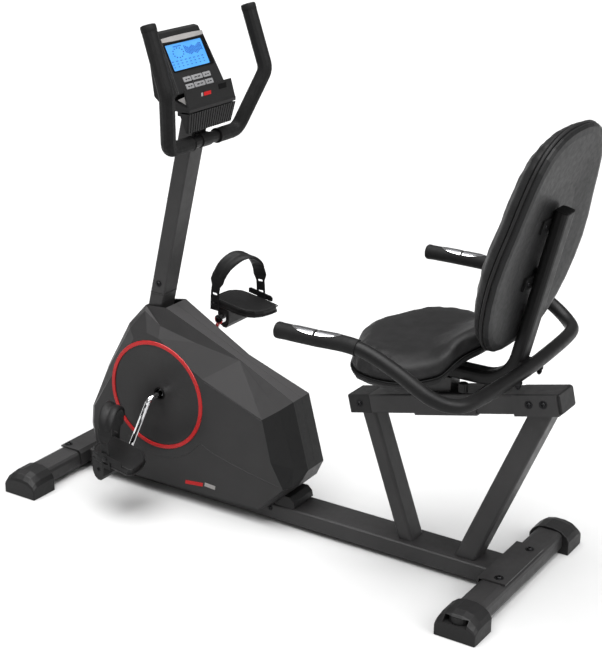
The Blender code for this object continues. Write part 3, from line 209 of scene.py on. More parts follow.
def vinyl_look(name, colour):
    """Upholstery vinyl: leather grain of closed cells, soft creases, polished high spots."""
    made, tree, shader, spot = start_look(name, specular=0.17)
    shader.inputs["Sheen Weight"].default_value = 0.015
    shader.inputs["Sheen Roughness"].default_value = 0.45
    warp = tree.nodes.new("ShaderNodeVectorMath")
    warp.operation = "ADD"
    drift = tree.nodes.new("ShaderNodeTexNoise")
    drift.inputs["Scale"].default_value = 260.0
    tree.links.new(spot, drift.inputs["Vector"])
    small = tree.nodes.new("ShaderNodeVectorMath")
    small.operation = "SCALE"
    small.inputs["Scale"].default_value = 0.0016
    tree.links.new(drift.outputs["Color"], small.inputs[0])
    tree.links.new(spot, warp.inputs[0])
    tree.links.new(small.outputs[0], warp.inputs[1])
    grain = remap(tree, cells(tree, warp.outputs[0], 640.0, "DISTANCE_TO_EDGE"), 0.0, 0.28, 0.0, 1.0)
    crease = noise(tree, spot, 34.0, 6.0, 0.8)
    base = mixed(tree, grain, tinted(colour, 0.55), tinted(colour, 1.15))
    base = mixed(tree, remap(tree, crease, 0.35, 0.68, 0.0, 0.55), base, tinted(colour, 1.55))
    tree.links.new(base, shader.inputs["Base Color"])
    tree.links.new(remap(tree, maths(tree, "ADD", crease, maths(tree, "MULTIPLY", grain, -0.30)),
                         0.0, 0.7, 0.40, 0.54), shader.inputs["Roughness"])
    soft = bump(tree, crease, 0.05, 0.0015)
    tree.links.new(bump(tree, grain, 0.34, 0.0004, soft), shader.inputs["Normal"])
    return made


def rubber_look(name, colour):
    """Ribbed moulded rubber with a chalky bloom."""
    made, tree, shader, spot = start_look(name, specular=0.20)
    bloom = remap(tree, noise(tree, spot, 60.0, 5.0), 0.45, 0.75, 0.0, 0.6)
    tree.links.new(mixed(tree, bloom, colour, tinted(colour, 1.8)), shader.inputs["Base Color"])
    tree.links.new(remap(tree, bloom, 0.0, 0.6, 0.52, 0.70), shader.inputs["Roughness"])
    tree.links.new(bump(tree, noise(tree, spot, 800.0, 2.0), 0.30, 0.0003), shader.inputs["Normal"])
    return made


def metal_look(name, colour, low, high, brushed=None, depth=0.05):
    """Bare or plated metal; `brushed` stretches its fine lines along an axis."""
    made, tree, shader, spot = start_look(name, metallic=1.0)
    line_spot = spot if brushed is None else stretch(tree, spot, brushed)
    lines = noise(tree, line_spot, 260.0, 4.0)
    smudge = noise(tree, spot, 45.0, 4.0)
    tree.links.new(mixed(tree, remap(tree, smudge, 0.35, 0.7, 0.0, 1.0), colour,
                         tinted(colour, 0.84)), shader.inputs["Base Color"])
    tree.links.new(remap(tree, maths(tree, "ADD", lines, smudge), 0.6, 1.4, low, high),
                   shader.inputs["Roughness"])
    if depth:
        tree.links.new(bump(tree, lines, depth, 0.0003), shader.inputs["Normal"])
    return made


def display_look(name):
    """Backlit liquid-crystal window: even blue glow with a faint pixel grid."""
    made, tree, shader, spot = start_look(name, specular=0.5)
    glow = remap(tree, noise(tree, spot, 14.0, 1.0), 0.3, 0.7, 0.0, 1.0)
    grid = remap(tree, cells(tree, spot, 1100.0, "DISTANCE_TO_EDGE"), 0.0, 0.10, 0.0, 1.0)
    bright = mixed(tree, glow, (0.080, 0.380, 0.960), (0.150, 0.500, 1.000))
    bright = mixed(tree, grid, (0.070, 0.330, 0.860), bright)
    tree.links.new(bright, shader.inputs["Emission Color"])
    shader.inputs["Emission Strength"].default_value = 0.80
    tree.links.new(mixed(tree, glow, (0.015, 0.070, 0.190), (0.020, 0.090, 0.220)),
                   shader.inputs["Base Color"])
    tree.links.new(remap(tree, grid, 0.0, 1.0, 0.30, 0.22), shader.inputs["Roughness"])
    return made


PAINT = powder_coat("powder_coat", (0.0170, 0.0164, 0.0167))
BAR_COAT = powder_coat("bar_coat", (0.0044, 0.0043, 0.0044), 0.17)
PLASTIC = moulded("moulded_plastic", (0.0080, 0.0078, 0.0080), 0.46, 1500.0, 0.16, 0.22)
# The shroud's last colour is painted shade for its rear-facing planes; its upward planes also get
# painted light.
SHROUD = moulded("shroud_plastic", (0.0190, 0.0184, 0.0187), 0.40, 1300.0, 0.10, 0.24,
                 (0.0030, 0.0030, 0.0032))
GLOSS = moulded("satin_plastic", (0.0130, 0.0130, 0.0133), 0.34, 1800.0, 0.06, 0.24)
BACKING = moulded("back_panel_plastic", (0.0088, 0.0088, 0.0090), 0.42, 900.0, 0.08, 0.15)
DARK = moulded("dark_plastic", (0.0022, 0.0022, 0.0023), 0.50, 1600.0, 0.10, 0.08)
FOAM = foam_look("grip_foam", (0.0050, 0.0049, 0.0050))
VINYL = vinyl_look("seat_vinyl", (0.0080, 0.0078, 0.0080))
RUBBER = rubber_look("strap_rubber", (0.0045, 0.0044, 0.0045))
CHROME = metal_look("chrome_plate", (0.78, 0.78, 0.79), 0.08, 0.12, None, 0.0)
SENSOR = metal_look("sensor_plate", (0.24, 0.24, 0.25), 0.28, 0.38, None, 0.0)
STEEL = metal_look("brushed_steel", (0.46, 0.47, 0.48), 0.26, 0.40, (1.0, 30.0, 1.0), 0.12)
BOLT = metal_look("blackened_steel", (0.022, 0.022, 0.023), 0.36, 0.50)
IRON = metal_look("cast_iron", (0.10, 0.10, 0.105), 0.45, 0.60, None, 0.5)
SILVER = moulded("silver_plastic", (0.20, 0.20, 0.205), 0.36, 1700.0, 0.06)
STRIP = moulded("pale_plastic", (0.245, 0.235, 0.230), 0.34, 1700.0, 0.06)
RED = moulded("red_plastic", (0.360, 0.006, 0.007), 0.32, 1700.0, 0.05)
DISPLAY = display_look("display_glow")
INK = moulded("display_ink", (0.010, 0.060, 0.300), 0.35, 1700.0, 0.03)

LOOKS = {
    "front_foot_cap": PLASTIC, "rear_foot_cap": PLASTIC, "levelling_wheel": PLASTIC,
    "rail_front_cap": PLASTIC, "rail_rear_cap": PLASTIC, "seat_lock_knob": PLASTIC,
    "seat_shell": PLASTIC, "back_shell": BACKING,
    "console_housing": PLASTIC, "console_tray": PLASTIC, "ribbed_panel": PLASTIC,
    "shroud_ring": RED, "shroud": SHROUD, "console_face": GLOSS, "display_lens": DISPLAY,
    "button": SILVER, "rear_grip": FOAM, "front_grip": FOAM, "pulse_plate": CHROME,
    "pedal_strap": RUBBER, "pedal": PLASTIC, "drive_belt": RUBBER, "drive_pulley": PLASTIC,
    "crank_arm": CHROME, "crank_axle": STEEL, "flywheel_axle": STEEL, "flywheel_bracket": PAINT,
    "flywheel": IRON, "front_handlebar": BAR_COAT, "seat_frame": BAR_COAT,
    "handlebar_clamp": BAR_COAT,
}
for node_name, node in nodes.items():
    matches = [key for key in LOOKS if node_name.startswith(key)]
    chosen = LOOKS[max(matches, key=len)] if matches else PAINT
    for place in node.material_slots:
        place.link = "OBJECT"
        place.material = chosen
    if node_name in ("console_face", "console_housing", "console_tray", "handlebar_clamp"):
        evened = node.modifiers.new("even_normals", "WEIGHTED_NORMAL")
        evened.keep_sharp = True


# ------------------------------------------------------------------ helpers
def at(x, y, z):
    """Bike coordinates to the frame's own."""
    return Vector((x - MIDDLE_X, y, z))


def piece(name, data, look, body, crease=35.0):
    """One visible object from (vertices, faces), riding on a CAD body."""
    mesh = bpy.data.meshes.new(name)
    mesh.from_pydata([tuple(v) for v in data[0]], [], data[1])
    work = bmesh.new()
    work.from_mesh(mesh)
    bmesh.ops.remove_doubles(work, verts=work.verts, dist=1e-6)
    bmesh.ops.recalc_face_normals(work, faces=work.faces)
    work.to_mesh(mesh)
    work.free()
    mesh.shade_smooth()
    mesh.set_sharp_from_angle(angle=math.radians(crease))
    mesh.materials.append(look)
    made = bpy.data.objects.new(name, mesh)
    bpy.context.collection.objects.link(made)
    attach(made, body)
    return made


def joined(parts):
    """Several (vertices, faces) pairs as one."""
    verts = []
    faces = []
    for more_verts, more_faces in parts:
        first = len(verts)
        verts += more_verts
        faces += [tuple(first + i for i in face) for face in more_faces]
    return verts, faces


def circle(radius, count, phase=0.0):
    step = 2 * math.pi / count
    return [(radius * math.cos(i * step + phase), radius * math.sin(i * step + phase))
            for i in range(count)]


def rounded(width, height, radius, steps=3):
    points = []
    for sx, sy, start in ((1, 1, 0), (-1, 1, 90), (-1, -1, 180), (1, -1, 270)):
        for i in range(steps + 1):
            turn = math.radians(start + 90 * i / steps)
            points.append((sx * (width / 2 - radius) + radius * math.cos(turn),
                           sy * (height / 2 - radius) + radius * math.sin(turn)))
    return points


def lofted(rings, closed=True):
    """Skin over rings of equal length, with flat ends unless the rings run round."""
    around = len(rings[0])
    verts = [p for ring in rings for p in ring]
    faces = []
    for k in range(len(rings) - (1 if closed else 0)):
        a = k * around
        b = (k + 1) % len(rings) * around
        for i in range(around):
            j = (i + 1) % around
            faces.append((a + i, a + j, b + j, b + i))
    if closed:
        faces.append(tuple(reversed(range(around))))
        faces.append(tuple(range((len(rings) - 1) * around, len(rings) * around)))
    return verts, faces


def turned(profile, centre, direction, segments=24, sides=None, solid=True):
    """Solid of revolution, or with solid=False a ring whose profile closes on itself.

    Points nearer than `sides` to the axis go round a hexagon.
    """
    w = Vector(direction).normalized()
    u = w.orthogonal().normalized()
    v = w.cross(u)
    rings = []
    for radius, along in profile:
        ring = []
        for i in range(segments):
            turn = 2 * math.pi * i / segments
            reach = max(radius, 1e-6)
            if sides is not None and radius < sides:
                wedge = turn % (math.pi / 3) - math.pi / 6
                reach *= math.cos(math.pi / 6) / math.cos(wedge)
            ring.append(centre + w * along + (u * math.cos(turn) + v * math.sin(turn)) * reach)
        rings.append(ring)
    return lofted(rings, solid)


def tube(path, outline, side=(0.0, 1.0, 0.0), loop=False):
    """Outline swept along a path; a looped path joins its own start."""
    rings = []
    u = Vector(side)
    count = len(path)
    for i, point in enumerate(path):
        before = path[(i - 1) % count] if loop else path[max(i - 1, 0)]
        after = path[(i + 1) % count] if loop else path[min(i + 1, count - 1)]
        tangent = (after - before).normalized()
        u = (u - tangent * u.dot(tangent)).normalized()
        v = tangent.cross(u)
        rings.append([point + u * p + v * q for p, q in outline])
    return lofted(rings, not loop)


def bolt(centre, direction, radius=0.0065):
    """Button head with a hexagon socket on a plain washer."""
    tall = 0.62 * radius
    profile = [(0.0, 0.45 * tall), (0.42 * radius, 0.45 * tall), (0.46 * radius, tall),
               (0.70 * radius, tall), (0.93 * radius, 0.70 * tall), (radius, 0.36 * tall),
               (radius, 0.26 * tall), (1.45 * radius, 0.26 * tall), (1.50 * radius, 0.20 * tall),
               (1.50 * radius, 0.0), (0.0, 0.0)]
    return turned(profile, centre, direction, 24, 0.5 * radius)


def slab(outline, low, high):
    """Prism over a list of corners, between two offsets along its own normal."""
    return lofted([[p + low for p in outline], [p + high for p in outline]])


def bolts(name, spots, body, radius=0.0065, look=BOLT):
    return piece(name, joined([bolt(at(*spot), way, radius) for spot, way in spots]), look, body)


UP = Vector((0.0, 0.0, 1.0))
ACROSS = Vector((0.0, 1.0, 0.0))
back_out = Vector((-1.0, 0.0, BACK_LEAN)).normalized()


# ----------------------------------------------------------------- cushions
BACK_HALF = (
    (0.5880, 0.0), (0.5880, 0.040), (0.5895, 0.070), (0.5950, 0.096), (0.6060, 0.122),
    (0.6250, 0.148), (0.6500, 0.170), (0.6850, 0.190), (0.7300, 0.204), (0.7800, 0.210),
    (0.8300, 0.203), (0.8800, 0.188), (0.9300, 0.176), (0.9700, 0.164), (1.0000, 0.151),
    (1.0250, 0.134), (1.0430, 0.112), (1.0560, 0.084), (1.0640, 0.052), (1.0670, 0.020),
    (1.0672, 0.0))
SEAT_HALF = (
    (0.9010, 0.000, 0.5180), (0.9050, 0.040, 0.5180), (0.9230, 0.087, 0.5180),
    (0.9410, 0.134, 0.5180), (0.9610, 0.171, 0.5180), (0.9880, 0.197, 0.5180),
    (1.0240, 0.210, 0.5180), (1.0620, 0.212, 0.5180), (1.0900, 0.206, 0.5185),
    (1.1150, 0.192, 0.5195), (1.1370, 0.174, 0.5225), (1.1560, 0.164, 0.5280),
    (1.1700, 0.156, 0.5350), (1.1790, 0.143, 0.5450), (1.1860, 0.127, 0.5560),
    (1.1930, 0.106, 0.5650), (1.2020, 0.084, 0.5710), (1.2110, 0.060, 0.5750),
    (1.2160, 0.030, 0.5770), (1.2180, 0.000, 0.5780))


def back_x(z):
    """Bike x of the backrest's seam plane."""
    return 1.2804 + BACK_LEAN * (z - 0.7000)


def mirrored(half):
    return half + [Vector((p.x, -p.y, p.z)) for p in reversed(half[1:-1])]


def span(p0, p1, p2, p3, steps):
    """Catmull-Rom points from p1 up to, but not including, p2."""
    for k in range(steps):
        t = k / steps
        yield 0.5 * (2 * p1 + (p2 - p0) * t + (2 * p0 - 5 * p1 + 4 * p2 - p3) * t ** 2
                     + (3 * p1 - p0 - 3 * p2 + p3) * t ** 3)


def closed_curve(points, steps=4):
    """Smooth closed path through the points."""
    path = []
    for i in range(len(points)):
        path += span(*(points[(i + k) % len(points)] for k in (-1, 0, 1, 2)), steps)
    return path


def open_curve(points, steps=4):
    """Smooth path from the first point to the last."""
    ends = [points[0] * 2 - points[1]] + list(points) + [points[-1] * 2 - points[-2]]
    path = []
    for i in range(1, len(ends) - 2):
        path += span(*ends[i - 1:i + 3], steps)
    path.append(ends[-2])
    return path


back_rim = closed_curve(mirrored([at(back_x(z), y, z) for z, y in BACK_HALF]))
seat_rim = closed_curve(mirrored([at(*p) for p in SEAT_HALF]))


def moved(path, centre, scale, shift):
    return [centre + (p - centre) * scale + shift for p in path]


def bake_modifiers(obj):
    graph = bpy.context.evaluated_depsgraph_get()
    mesh = bpy.data.meshes.new_from_object(obj.evaluated_get(graph), depsgraph=graph)
    obj.modifiers.clear()
    obj.data = mesh


def sew(pad, path, depth, width):
    """Draw the surface in along a sewn line."""
    tree = KDTree(len(path))
    for i, spot in enumerate(path):
        tree.insert(spot, i)
    tree.balance()
    for vertex in pad.data.vertices:
        gap = tree.find(vertex.co)[2]
        if gap < 3 * width:
            vertex.co -= vertex.normal * depth * math.exp(-(gap / width) ** 2)


VOXEL = 0.0050
GROWTH = 0.0008                  # start just proud of the CAD solid
PRESSURE = 4.0
CLOTH_FRAMES = 20


def cushion(node, name, out, cap):
    """Pad grown from its CAD solid: remeshed, blown up as cloth, held flat on its shell."""
    pad = bpy.data.objects.new(name, nodes[node].data.copy())
    bpy.context.collection.objects.link(pad)
    remesh = pad.modifiers.new("remesh", "REMESH")
    remesh.mode = "VOXEL"
    remesh.voxel_size = VOXEL
    relax = pad.modifiers.new("relax", "SMOOTH")
    relax.factor = 0.5
    relax.iterations = 2
    bake_modifiers(pad)
    held = pad.vertex_groups.new(name="held")
    base = [vertex.normal.dot(out) < -0.45 for vertex in pad.data.vertices]
    for vertex in pad.data.vertices:
        if base[vertex.index]:
            held.add([vertex.index], 1.0, "REPLACE")
        else:
            vertex.co += vertex.normal * GROWTH
    start = [vertex.co.copy() for vertex in pad.data.vertices]
    cloth = pad.modifiers.new("cloth", "CLOTH")
    cloth.settings.quality = 4
    cloth.settings.use_pressure = True
    cloth.settings.uniform_pressure_force = PRESSURE
    cloth.settings.effector_weights.gravity = 0.0
    cloth.settings.vertex_group_mass = "held"
    cloth.point_cache.frame_start = 1
    cloth.point_cache.frame_end = CLOTH_FRAMES
    for moment in range(1, CLOTH_FRAMES + 1):
        bpy.context.scene.frame_set(moment)
    bake_modifiers(pad)
    bpy.context.scene.frame_set(1)
    for vertex, before in zip(pad.data.vertices, start):
        shift = vertex.co - before
        if shift.length > cap:
            vertex.co = before + shift.normalized() * cap
    free = pad.vertex_groups.new(name="free")
    free.add([i for i, fixed in enumerate(base) if not fixed], 1.0, "REPLACE")
    calm = pad.modifiers.new("calm", "SMOOTH")
    calm.factor = 0.5
    calm.iterations = 7
    calm.vertex_group = "free"
    bake_modifiers(pad)
    bpy.context.view_layer.update()
    return pad


def finish_cushion(pad, node, look):
    mesh = pad.data
    mesh.materials.clear()
    mesh.materials.append(look)
    mesh.shade_smooth()
    smoother = pad.modifiers.new("subdivision", "SUBSURF")
    smoother.levels = 1
    smoother.render_levels = 1
    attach(pad, "seat")
    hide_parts(node)


BACK_CENTRE = at(back_x(0.8200), 0.0, 0.8200)
SEAT_CENTRE = at(1.0600, 0.0, 0.5180)
back_pad = cushion("back_cushion", "back_pad", back_out, 0.0070)
sew(back_pad, moved(back_rim, BACK_CENTRE, 0.999, back_out * 0.0085), 0.0042, 0.0040)
sew(back_pad, moved(back_rim, BACK_CENTRE, 0.905, back_out * 0.0370), 0.0022, 0.0042)
finish_cushion(back_pad, "back_cushion", VINYL)
seat_pad = cushion("seat_cushion", "seat_pad", UP, 0.0055)
sew(seat_pad, moved(seat_rim, SEAT_CENTRE, 1.0, UP * 0.0020), 0.0050, 0.0045)
finish_cushion(seat_pad, "seat_cushion", VINYL)

piece("back_piping", tube(moved(back_rim, BACK_CENTRE, 0.998, back_out * 0.0022),
                          circle(0.0040, 10), back_out, True), VINYL, "seat", 80.0)
piece("back_seam_cord", tube(moved(back_rim, BACK_CENTRE, 0.988, back_out * 0.0085),
                             circle(0.0018, 8), back_out, True), DARK, "seat", 80.0)
# Dark cord along the seat's sewn seam: painted shade standing in for the groove's shadow
piece("seat_seam_shade_cord", tube(moved(seat_rim, SEAT_CENTRE, 1.001, UP * 0.0012),
                          circle(0.0024, 8), UP, True), DARK, "seat", 80.0)

# --------------------------------------------------- floor feet, beam, posts
PLATE_TOP = 0.0595
bolts("front_foot_bolts", [((0.0300, y, PLATE_TOP), UP) for y in (-0.064, 0.064)], "base",
      0.0068)
bolts("rear_foot_bolts", [((1.2900, y, PLATE_TOP), UP) for y in (-0.078, 0.078)], "base",
      0.0068)
shroud_bracket = [at(x, 0.0, z) for x, z in (
    (0.6700, 0.0524), (0.7230, 0.0524), (0.7265, 0.0560), (0.7240, 0.0700), (0.7130, 0.0810),
    (0.6700, 0.0810))]
piece("shroud_tail_bracket", slab(shroud_bracket, Vector((0, -0.0415, 0)), Vector((0, 0.0415, 0))),
      PLASTIC, "base", 25.0)
bolts("beam_side_bolts", [((0.6580, -0.0442, 0.0400), (0, -1, 0)),
                          ((0.6580, 0.0442, 0.0400), (0, 1, 0))], "base", 0.0045)

# ------------------------------------------------------------ rail and mast
rail_spots = [((0.9010, s * 0.0352, 0.3690), (0, s, 0)) for _, s in SIDES]
bolts("rail_front_bolts", rail_spots, "base", 0.0058)
rail_spots = [((x, s * 0.0379, z), (0, s, 0)) for _, s in SIDES
              for x, z in ((1.3190, 0.4650), (1.3520, 0.4725))]
bolts("rail_rear_bolts", rail_spots, "base", 0.0062)


def mast_x(z):
    return 0.2840 + MAST_LEAN * (z - 0.4833)


joint_spots = [((mast_x(0.5480) + 0.0210, s * 0.0271, 0.5480), (0, s, 0)) for _, s in SIDES]
joint_spots += [((mast_x(0.5480) - 0.0001, 0.0, 0.5480), (-1, 0, MAST_LEAN))]
bolts("mast_joint_bolts", joint_spots, "base", 0.0055)
collar = [[at(mast_x(z) + 0.0210 + a, b, z) for a, b in rounded(0.0450, 0.0570, 0.0075)]
          for z in (0.5205, 0.5225)]
piece("mast_joint_collar", lofted(collar), PAINT, "base")

# --------------------------------------------------- seat frame and rear bar
def frame_rear(z):
    """Bike x of the seat frame's rear face."""
    return 1.3455 + FRAME_LEAN * (z - 0.7700)


FRAME_TOP = 0.8880
SLANT = 1.03                     # level depth of the leaning tube over its own depth
frame_mid = frame_rear(FRAME_TOP) - FRAME_DEPTH / 2 * SLANT
top_dir = Vector((FRAME_LEAN, 0.0, 1.0)).normalized()
top_side = Vector((1.0, 0.0, -FRAME_LEAN)).normalized()
plug = []
for rise, grow in ((-0.0100, -0.0042), (0.0001, -0.0042), (0.0002, -0.0008), (0.0020, -0.0014),
                   (0.0030, -0.0060)):
    centre = at(frame_mid, 0.0, FRAME_TOP) + top_dir * rise
    plug.append([centre + ACROSS * a + top_side * b
                 for a, b in rounded(0.0480 + grow, FRAME_DEPTH + grow, 0.0080)])
piece("frame_top_plug", lofted(plug), DARK, "seat")
bracket_bolts = []
for height in (0.7330, 0.8610):
    front = frame_rear(height) - FRAME_DEPTH * SLANT + 0.0010
    bracket_bolts += [((front, s * 0.0420, height), (1, 0, -FRAME_LEAN)) for _, s in SIDES]
bolts("backrest_bolts", bracket_bolts, "seat", 0.0044)
screws = []
for _, s in SIDES:
    screws.append(turned([(0.0, -0.0010), (0.0085, -0.0010), (0.0085, 0.0040), (0.0066, 0.0050),
                          (0.0060, 0.0085), (0.0068, 0.0090), (0.0050, 0.0125), (0.0056, 0.0130),
                          (0.0028, 0.0170), (0.0, 0.0175)],
                         at(1.2995, s * 0.0520, 0.5176), -UP, 20))
piece("bar_clamp_screws", joined(screws), BOLT, "seat")
for side, sign in SIDES:
    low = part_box("rear_grip_" + side)[0]
    tip = Vector((low[0], sign * 0.3240, 0.6330))
    plug = turned([(0.0, 0.0085), (0.0178, 0.0085), (0.0181, 0.0075), (0.0180, 0.0010),
                   (0.0168, -0.0014), (0.0120, -0.0026), (0.0, -0.0030)], tip, (1, 0, 0), 28)
    piece("rear_grip_end_" + side, plug, FOAM, "seat")

REAR_BAR = (
    (0.8774, 0.3240, 0.6330), (0.9604, 0.3235, 0.6330), (1.0417, 0.3180, 0.6324),
    (1.0936, 0.3160, 0.6212), (1.1565, 0.3150, 0.5947), (1.2180, 0.3110, 0.5600),
    (1.2450, 0.3020, 0.5460), (1.2690, 0.2830, 0.5370), (1.2865, 0.2530, 0.5345),
    (1.2945, 0.1700, 0.5345), (1.3010, 0.0000, 0.5350))
near_half = [at(x, -y, z) for x, y, z in REAR_BAR]
rear_path = open_curve(near_half + [Vector((p.x, -p.y, p.z)) for p in reversed(near_half[:-1])], 8)
for _ in range(24):
    calmer = list(rear_path)
    for i in range(1, len(rear_path) - 1):
        if abs(rear_path[i].y) > 0.1800 and rear_path[i].x > at(1.2250, 0, 0).x:
            calmer[i] = (rear_path[i - 1] + rear_path[i] * 2 + rear_path[i + 1]) / 4
    rear_path = calmer
rear_bar = piece("rear_bar_tube", tube(rear_path, circle(0.0155, 32), UP), BAR_COAT, "seat",
                 50.0)
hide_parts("rear_handlebar")


def leaf(path, start, end, narrow_first, shrink, low, high):
    """Plate on the top of a grip, widest at the divider and pointed at its far end."""
    stations = 13
    rings = []
    for i in range(stations):
        t = i / (stations - 1)
        grown = 0.04 + 0.96 * t if narrow_first else 1.0 - 0.96 * t
        half = math.radians(50.0) * math.sqrt(max(1.0 - (1.0 - grown) ** 2, 0.0025)) * shrink
        x = start + (end - start) * t
        spot = next(a.lerp(b, (x - a.x) / (b.x - a.x)) for a, b in zip(path, path[1:])
                    if a.x <= x <= b.x)
        ring = []
        for reach, turns in ((high, range(7)), (low, range(6, -1, -1))):
            for k in turns:
                turn = half * (k / 3 - 1)
                ring.append(spot + UP * reach * math.cos(turn)
                            + ACROSS * reach * math.sin(turn))
        rings.append(ring)
    return lofted(rings)


GRIP_RADIUS = 0.0175
for side, sign in SIDES:
    path = rear_path if sign < 0 else list(reversed(rear_path))
    grip_path = [p for p in path[:30] if p.x < at(1.0640, 0, 0).x]
    grip = piece("rear_grip_foam_" + side, tube(grip_path, circle(GRIP_RADIUS, 32), UP), FOAM,
                 "seat", 50.0)
    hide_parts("rear_grip_" + side)
    rims = [leaf(path, at(a, 0, 0).x, at(b, 0, 0).x, first, 1.0, GRIP_RADIUS - 0.0004,
                 GRIP_RADIUS + 0.0010) for a, b, first in ((0.9120, 0.9660, True),
                                                           (0.9720, 1.0260, False))]
    plate = piece("pulse_rim_" + side, joined(rims), CHROME, "seat", 30.0)
    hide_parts("pulse_plate_" + side)
    faces_in = [leaf(path, at(a, 0, 0).x, at(b, 0, 0).x, first, 0.80, GRIP_RADIUS - 0.0004,
                     GRIP_RADIUS + 0.0012) for a, b, first in ((0.9190, 0.9638, True),
                                                               (0.9742, 1.0190, False))]
    piece("pulse_face_" + side, joined(faces_in), SENSOR, "seat", 30.0)

# ------------------------------------------------------------ front bar ends
for side, sign in SIDES:
    tip = at(0.4455, sign * 0.1884, 1.2040)
    along = (at(0.4931, sign * 0.1907, 1.0575) - tip).normalized()
    plug = turned([(0.0, 0.0110), (0.0177, 0.0110), (0.0181, 0.0100), (0.0180, 0.0004),
                   (0.0168, -0.0030), (0.0120, -0.0045), (0.0, -0.0050)], tip, along, 28)
    piece("front_grip_end_" + side, plug, FOAM, "base")
    cuff = turned([(0.0, -0.0010), (0.0172, -0.0010), (0.0180, 0.0002), (0.0180, 0.0036),
                   (0.0160, 0.0048), (0.0, 0.0048)], at(0.4475, sign * 0.0525, 0.9175),
                  (0, -sign, 0), 24)
    piece("front_grip_cuff_" + side, cuff, DARK, "base")

# ------------------------------------------------------------------- console
face_down = Vector((math.sin(FACE_TILT), 0.0, -math.cos(FACE_TILT)))
face_out = Vector((math.cos(FACE_TILT), 0.0, math.sin(FACE_TILT)))
face_top = at(0.3910, 0.0, 1.1533)


def face_spot(down, across, out=0.0):
    return face_top + face_down * down + ACROSS * across + face_out * out


def face_slab(corners, low, high):
    return slab([face_spot(a, b) for a, b in corners], face_out * low, face_out * high)


def face_box(down, across, tall, wide, low, high, radius=0.0):
    if radius:
        shape = [(down + a, across + b) for a, b in rounded(tall, wide, radius, 2)]
    else:
        shape = [(down - tall / 2, across - wide / 2), (down + tall / 2, across - wide / 2),
                 (down + tall / 2, across + wide / 2), (down - tall / 2, across + wide / 2)]
    return face_slab(shape, low, high)


strip = [(-0.0022, -0.0770), (-0.0036, -0.0400), (-0.0040, 0.0), (-0.0036, 0.0400),
         (-0.0022, 0.0770), (0.0070, 0.0768), (0.0082, 0.0400), (0.0086, 0.0), (0.0082, -0.0400),
         (0.0070, -0.0768)]
piece("console_strip", face_slab(strip, 0.0002, 0.0016), STRIP, "base")


def bezel(outer, inner, low, high):
    """Raised frame between two rounded rectangles of equal corner count."""
    rings = []
    for shape, out in ((outer, low), (outer, high), (inner, high), (inner, low)):
        rings.append([face_spot(a, b, out) for a, b in shape])
    return lofted(rings, False)


SCREEN_DOWN = (0.0140 + 0.0756) / 2
SCREEN_TALL = 0.0756 - 0.0140
outer = [(SCREEN_DOWN + a, b) for a, b in rounded(SCREEN_TALL + 0.0070, 0.1530, 0.0050, 3)]
inner = [(SCREEN_DOWN + a, -0.0044 + b) for a, b in rounded(SCREEN_TALL, 0.1360, 0.0028, 3)]
piece("screen_bezel", bezel(outer, inner, 0.0001, 0.0010), DARK, "base")

MARK_LOW, MARK_HIGH = -0.0013, -0.0009
marks = []
for i in range(6):
    marks.append(face_box(0.0205, -0.0430 + i * 0.0052, 0.0028, 0.0034, MARK_LOW, MARK_HIGH))
for i in range(12):
    turn = math.pi / 6 * i
    marks.append(face_box(0.0360 + 0.0115 * math.sin(turn), -0.0330 + 0.0190 * math.cos(turn),
                          0.0030, 0.0040, MARK_LOW, MARK_HIGH, 0.0012))
for i, level in enumerate((0, 2, 4, 6, 4, 2, 4, 6, 4, 2, 0, 1)):
    for k in range(5):
        marks.append(face_box(0.0240 + 0.0011 * level + 0.0036 * k, -0.0050 + i * 0.0054, 0.0026,
                              0.0038, MARK_LOW, MARK_HIGH))
for row in range(3):
    for i in range(8):
        marks.append(face_box(0.0540 + 0.0068 * row, -0.0640 + i * 0.0158, 0.0018,
                              0.0076 - 0.0016 * row, MARK_LOW, MARK_HIGH))
piece("display_marks", joined(marks), INK, "base")

for row, down in (("upper", 0.0993), ("lower", 0.1165)):
    for column, across, width in (("left", -0.0405, 0.0280), ("middle", -0.0036, 0.0395),
                                  ("right", 0.0333, 0.0280)):
        name = row + "_" + column
        shape = joined([face_box(down, across + width * aside, 0.0022, width * 0.22, 0.0013,
                                 0.0017, 0.0008) for aside in (-0.16, 0.16)])
        piece("key_mark_" + name, shape, DARK, "key_" + name)

tray_down = (at(0.4640, 0.0, 1.0495) - at(0.4743, 0.0, 1.0110)).normalized() * -1.0
tray_out = Vector((-tray_down.z, 0.0, tray_down.x))
tray_top = at(0.4640, 0.0, 1.0495)


def tray_slab(corners, low, high):
    return slab([tray_top + tray_down * a + ACROSS * b for a, b in corners], tray_out * low,
                tray_out * high)


piece("tray_window", tray_slab([(0.0060, 0.0360), (0.0180, 0.0350), (0.0180, 0.0640),
                                (0.0060, 0.0660)], 0.0001, 0.0008), DARK, "base")
for side, sign in SIDES:
    wedge = [at(x, sign * 0.0885, z) for x, z in ((0.4440, 1.0255), (0.4625, 1.0340),
                                                  (0.4668, 1.0175))]
    piece("tray_end_" + side, slab(wedge, Vector((0, -0.0010, 0)), Vector((0, 0.0010, 0))), STRIP,
          "base")
for name, look, corners in (
        ("pale", STRIP, ((0.0150, -0.0330), (0.0230, -0.0350), (0.0230, -0.0290),
                         (0.0150, -0.0270))),
        ("red", RED, ((0.0150, -0.0230), (0.0230, -0.0250), (0.0230, 0.0020),
                      (0.0150, 0.0040)))):
    piece("tray_stripe_" + name, tray_slab(corners, 0.0001, 0.0006), look, "base")

# -------------------------------------------------------------------- shroud
SHROUD_HALF = 0.0720
HUB = (0.3380, 0.2730)


def side_slab(sign, corners, low=0.0001, high=0.0006):
    way = Vector((0.0, float(sign), 0.0))
    return slab([at(x, sign * SHROUD_HALF, z) for x, z in corners], way * low, way * high)


def crease(sign, points, radius=0.0009):
    """Fine moulded line lying half sunk in the flat side."""
    path = open_curve([at(x, sign * (SHROUD_HALF - 0.0002), z) for x, z in points], 6)
    return tube(path, circle(radius, 8))


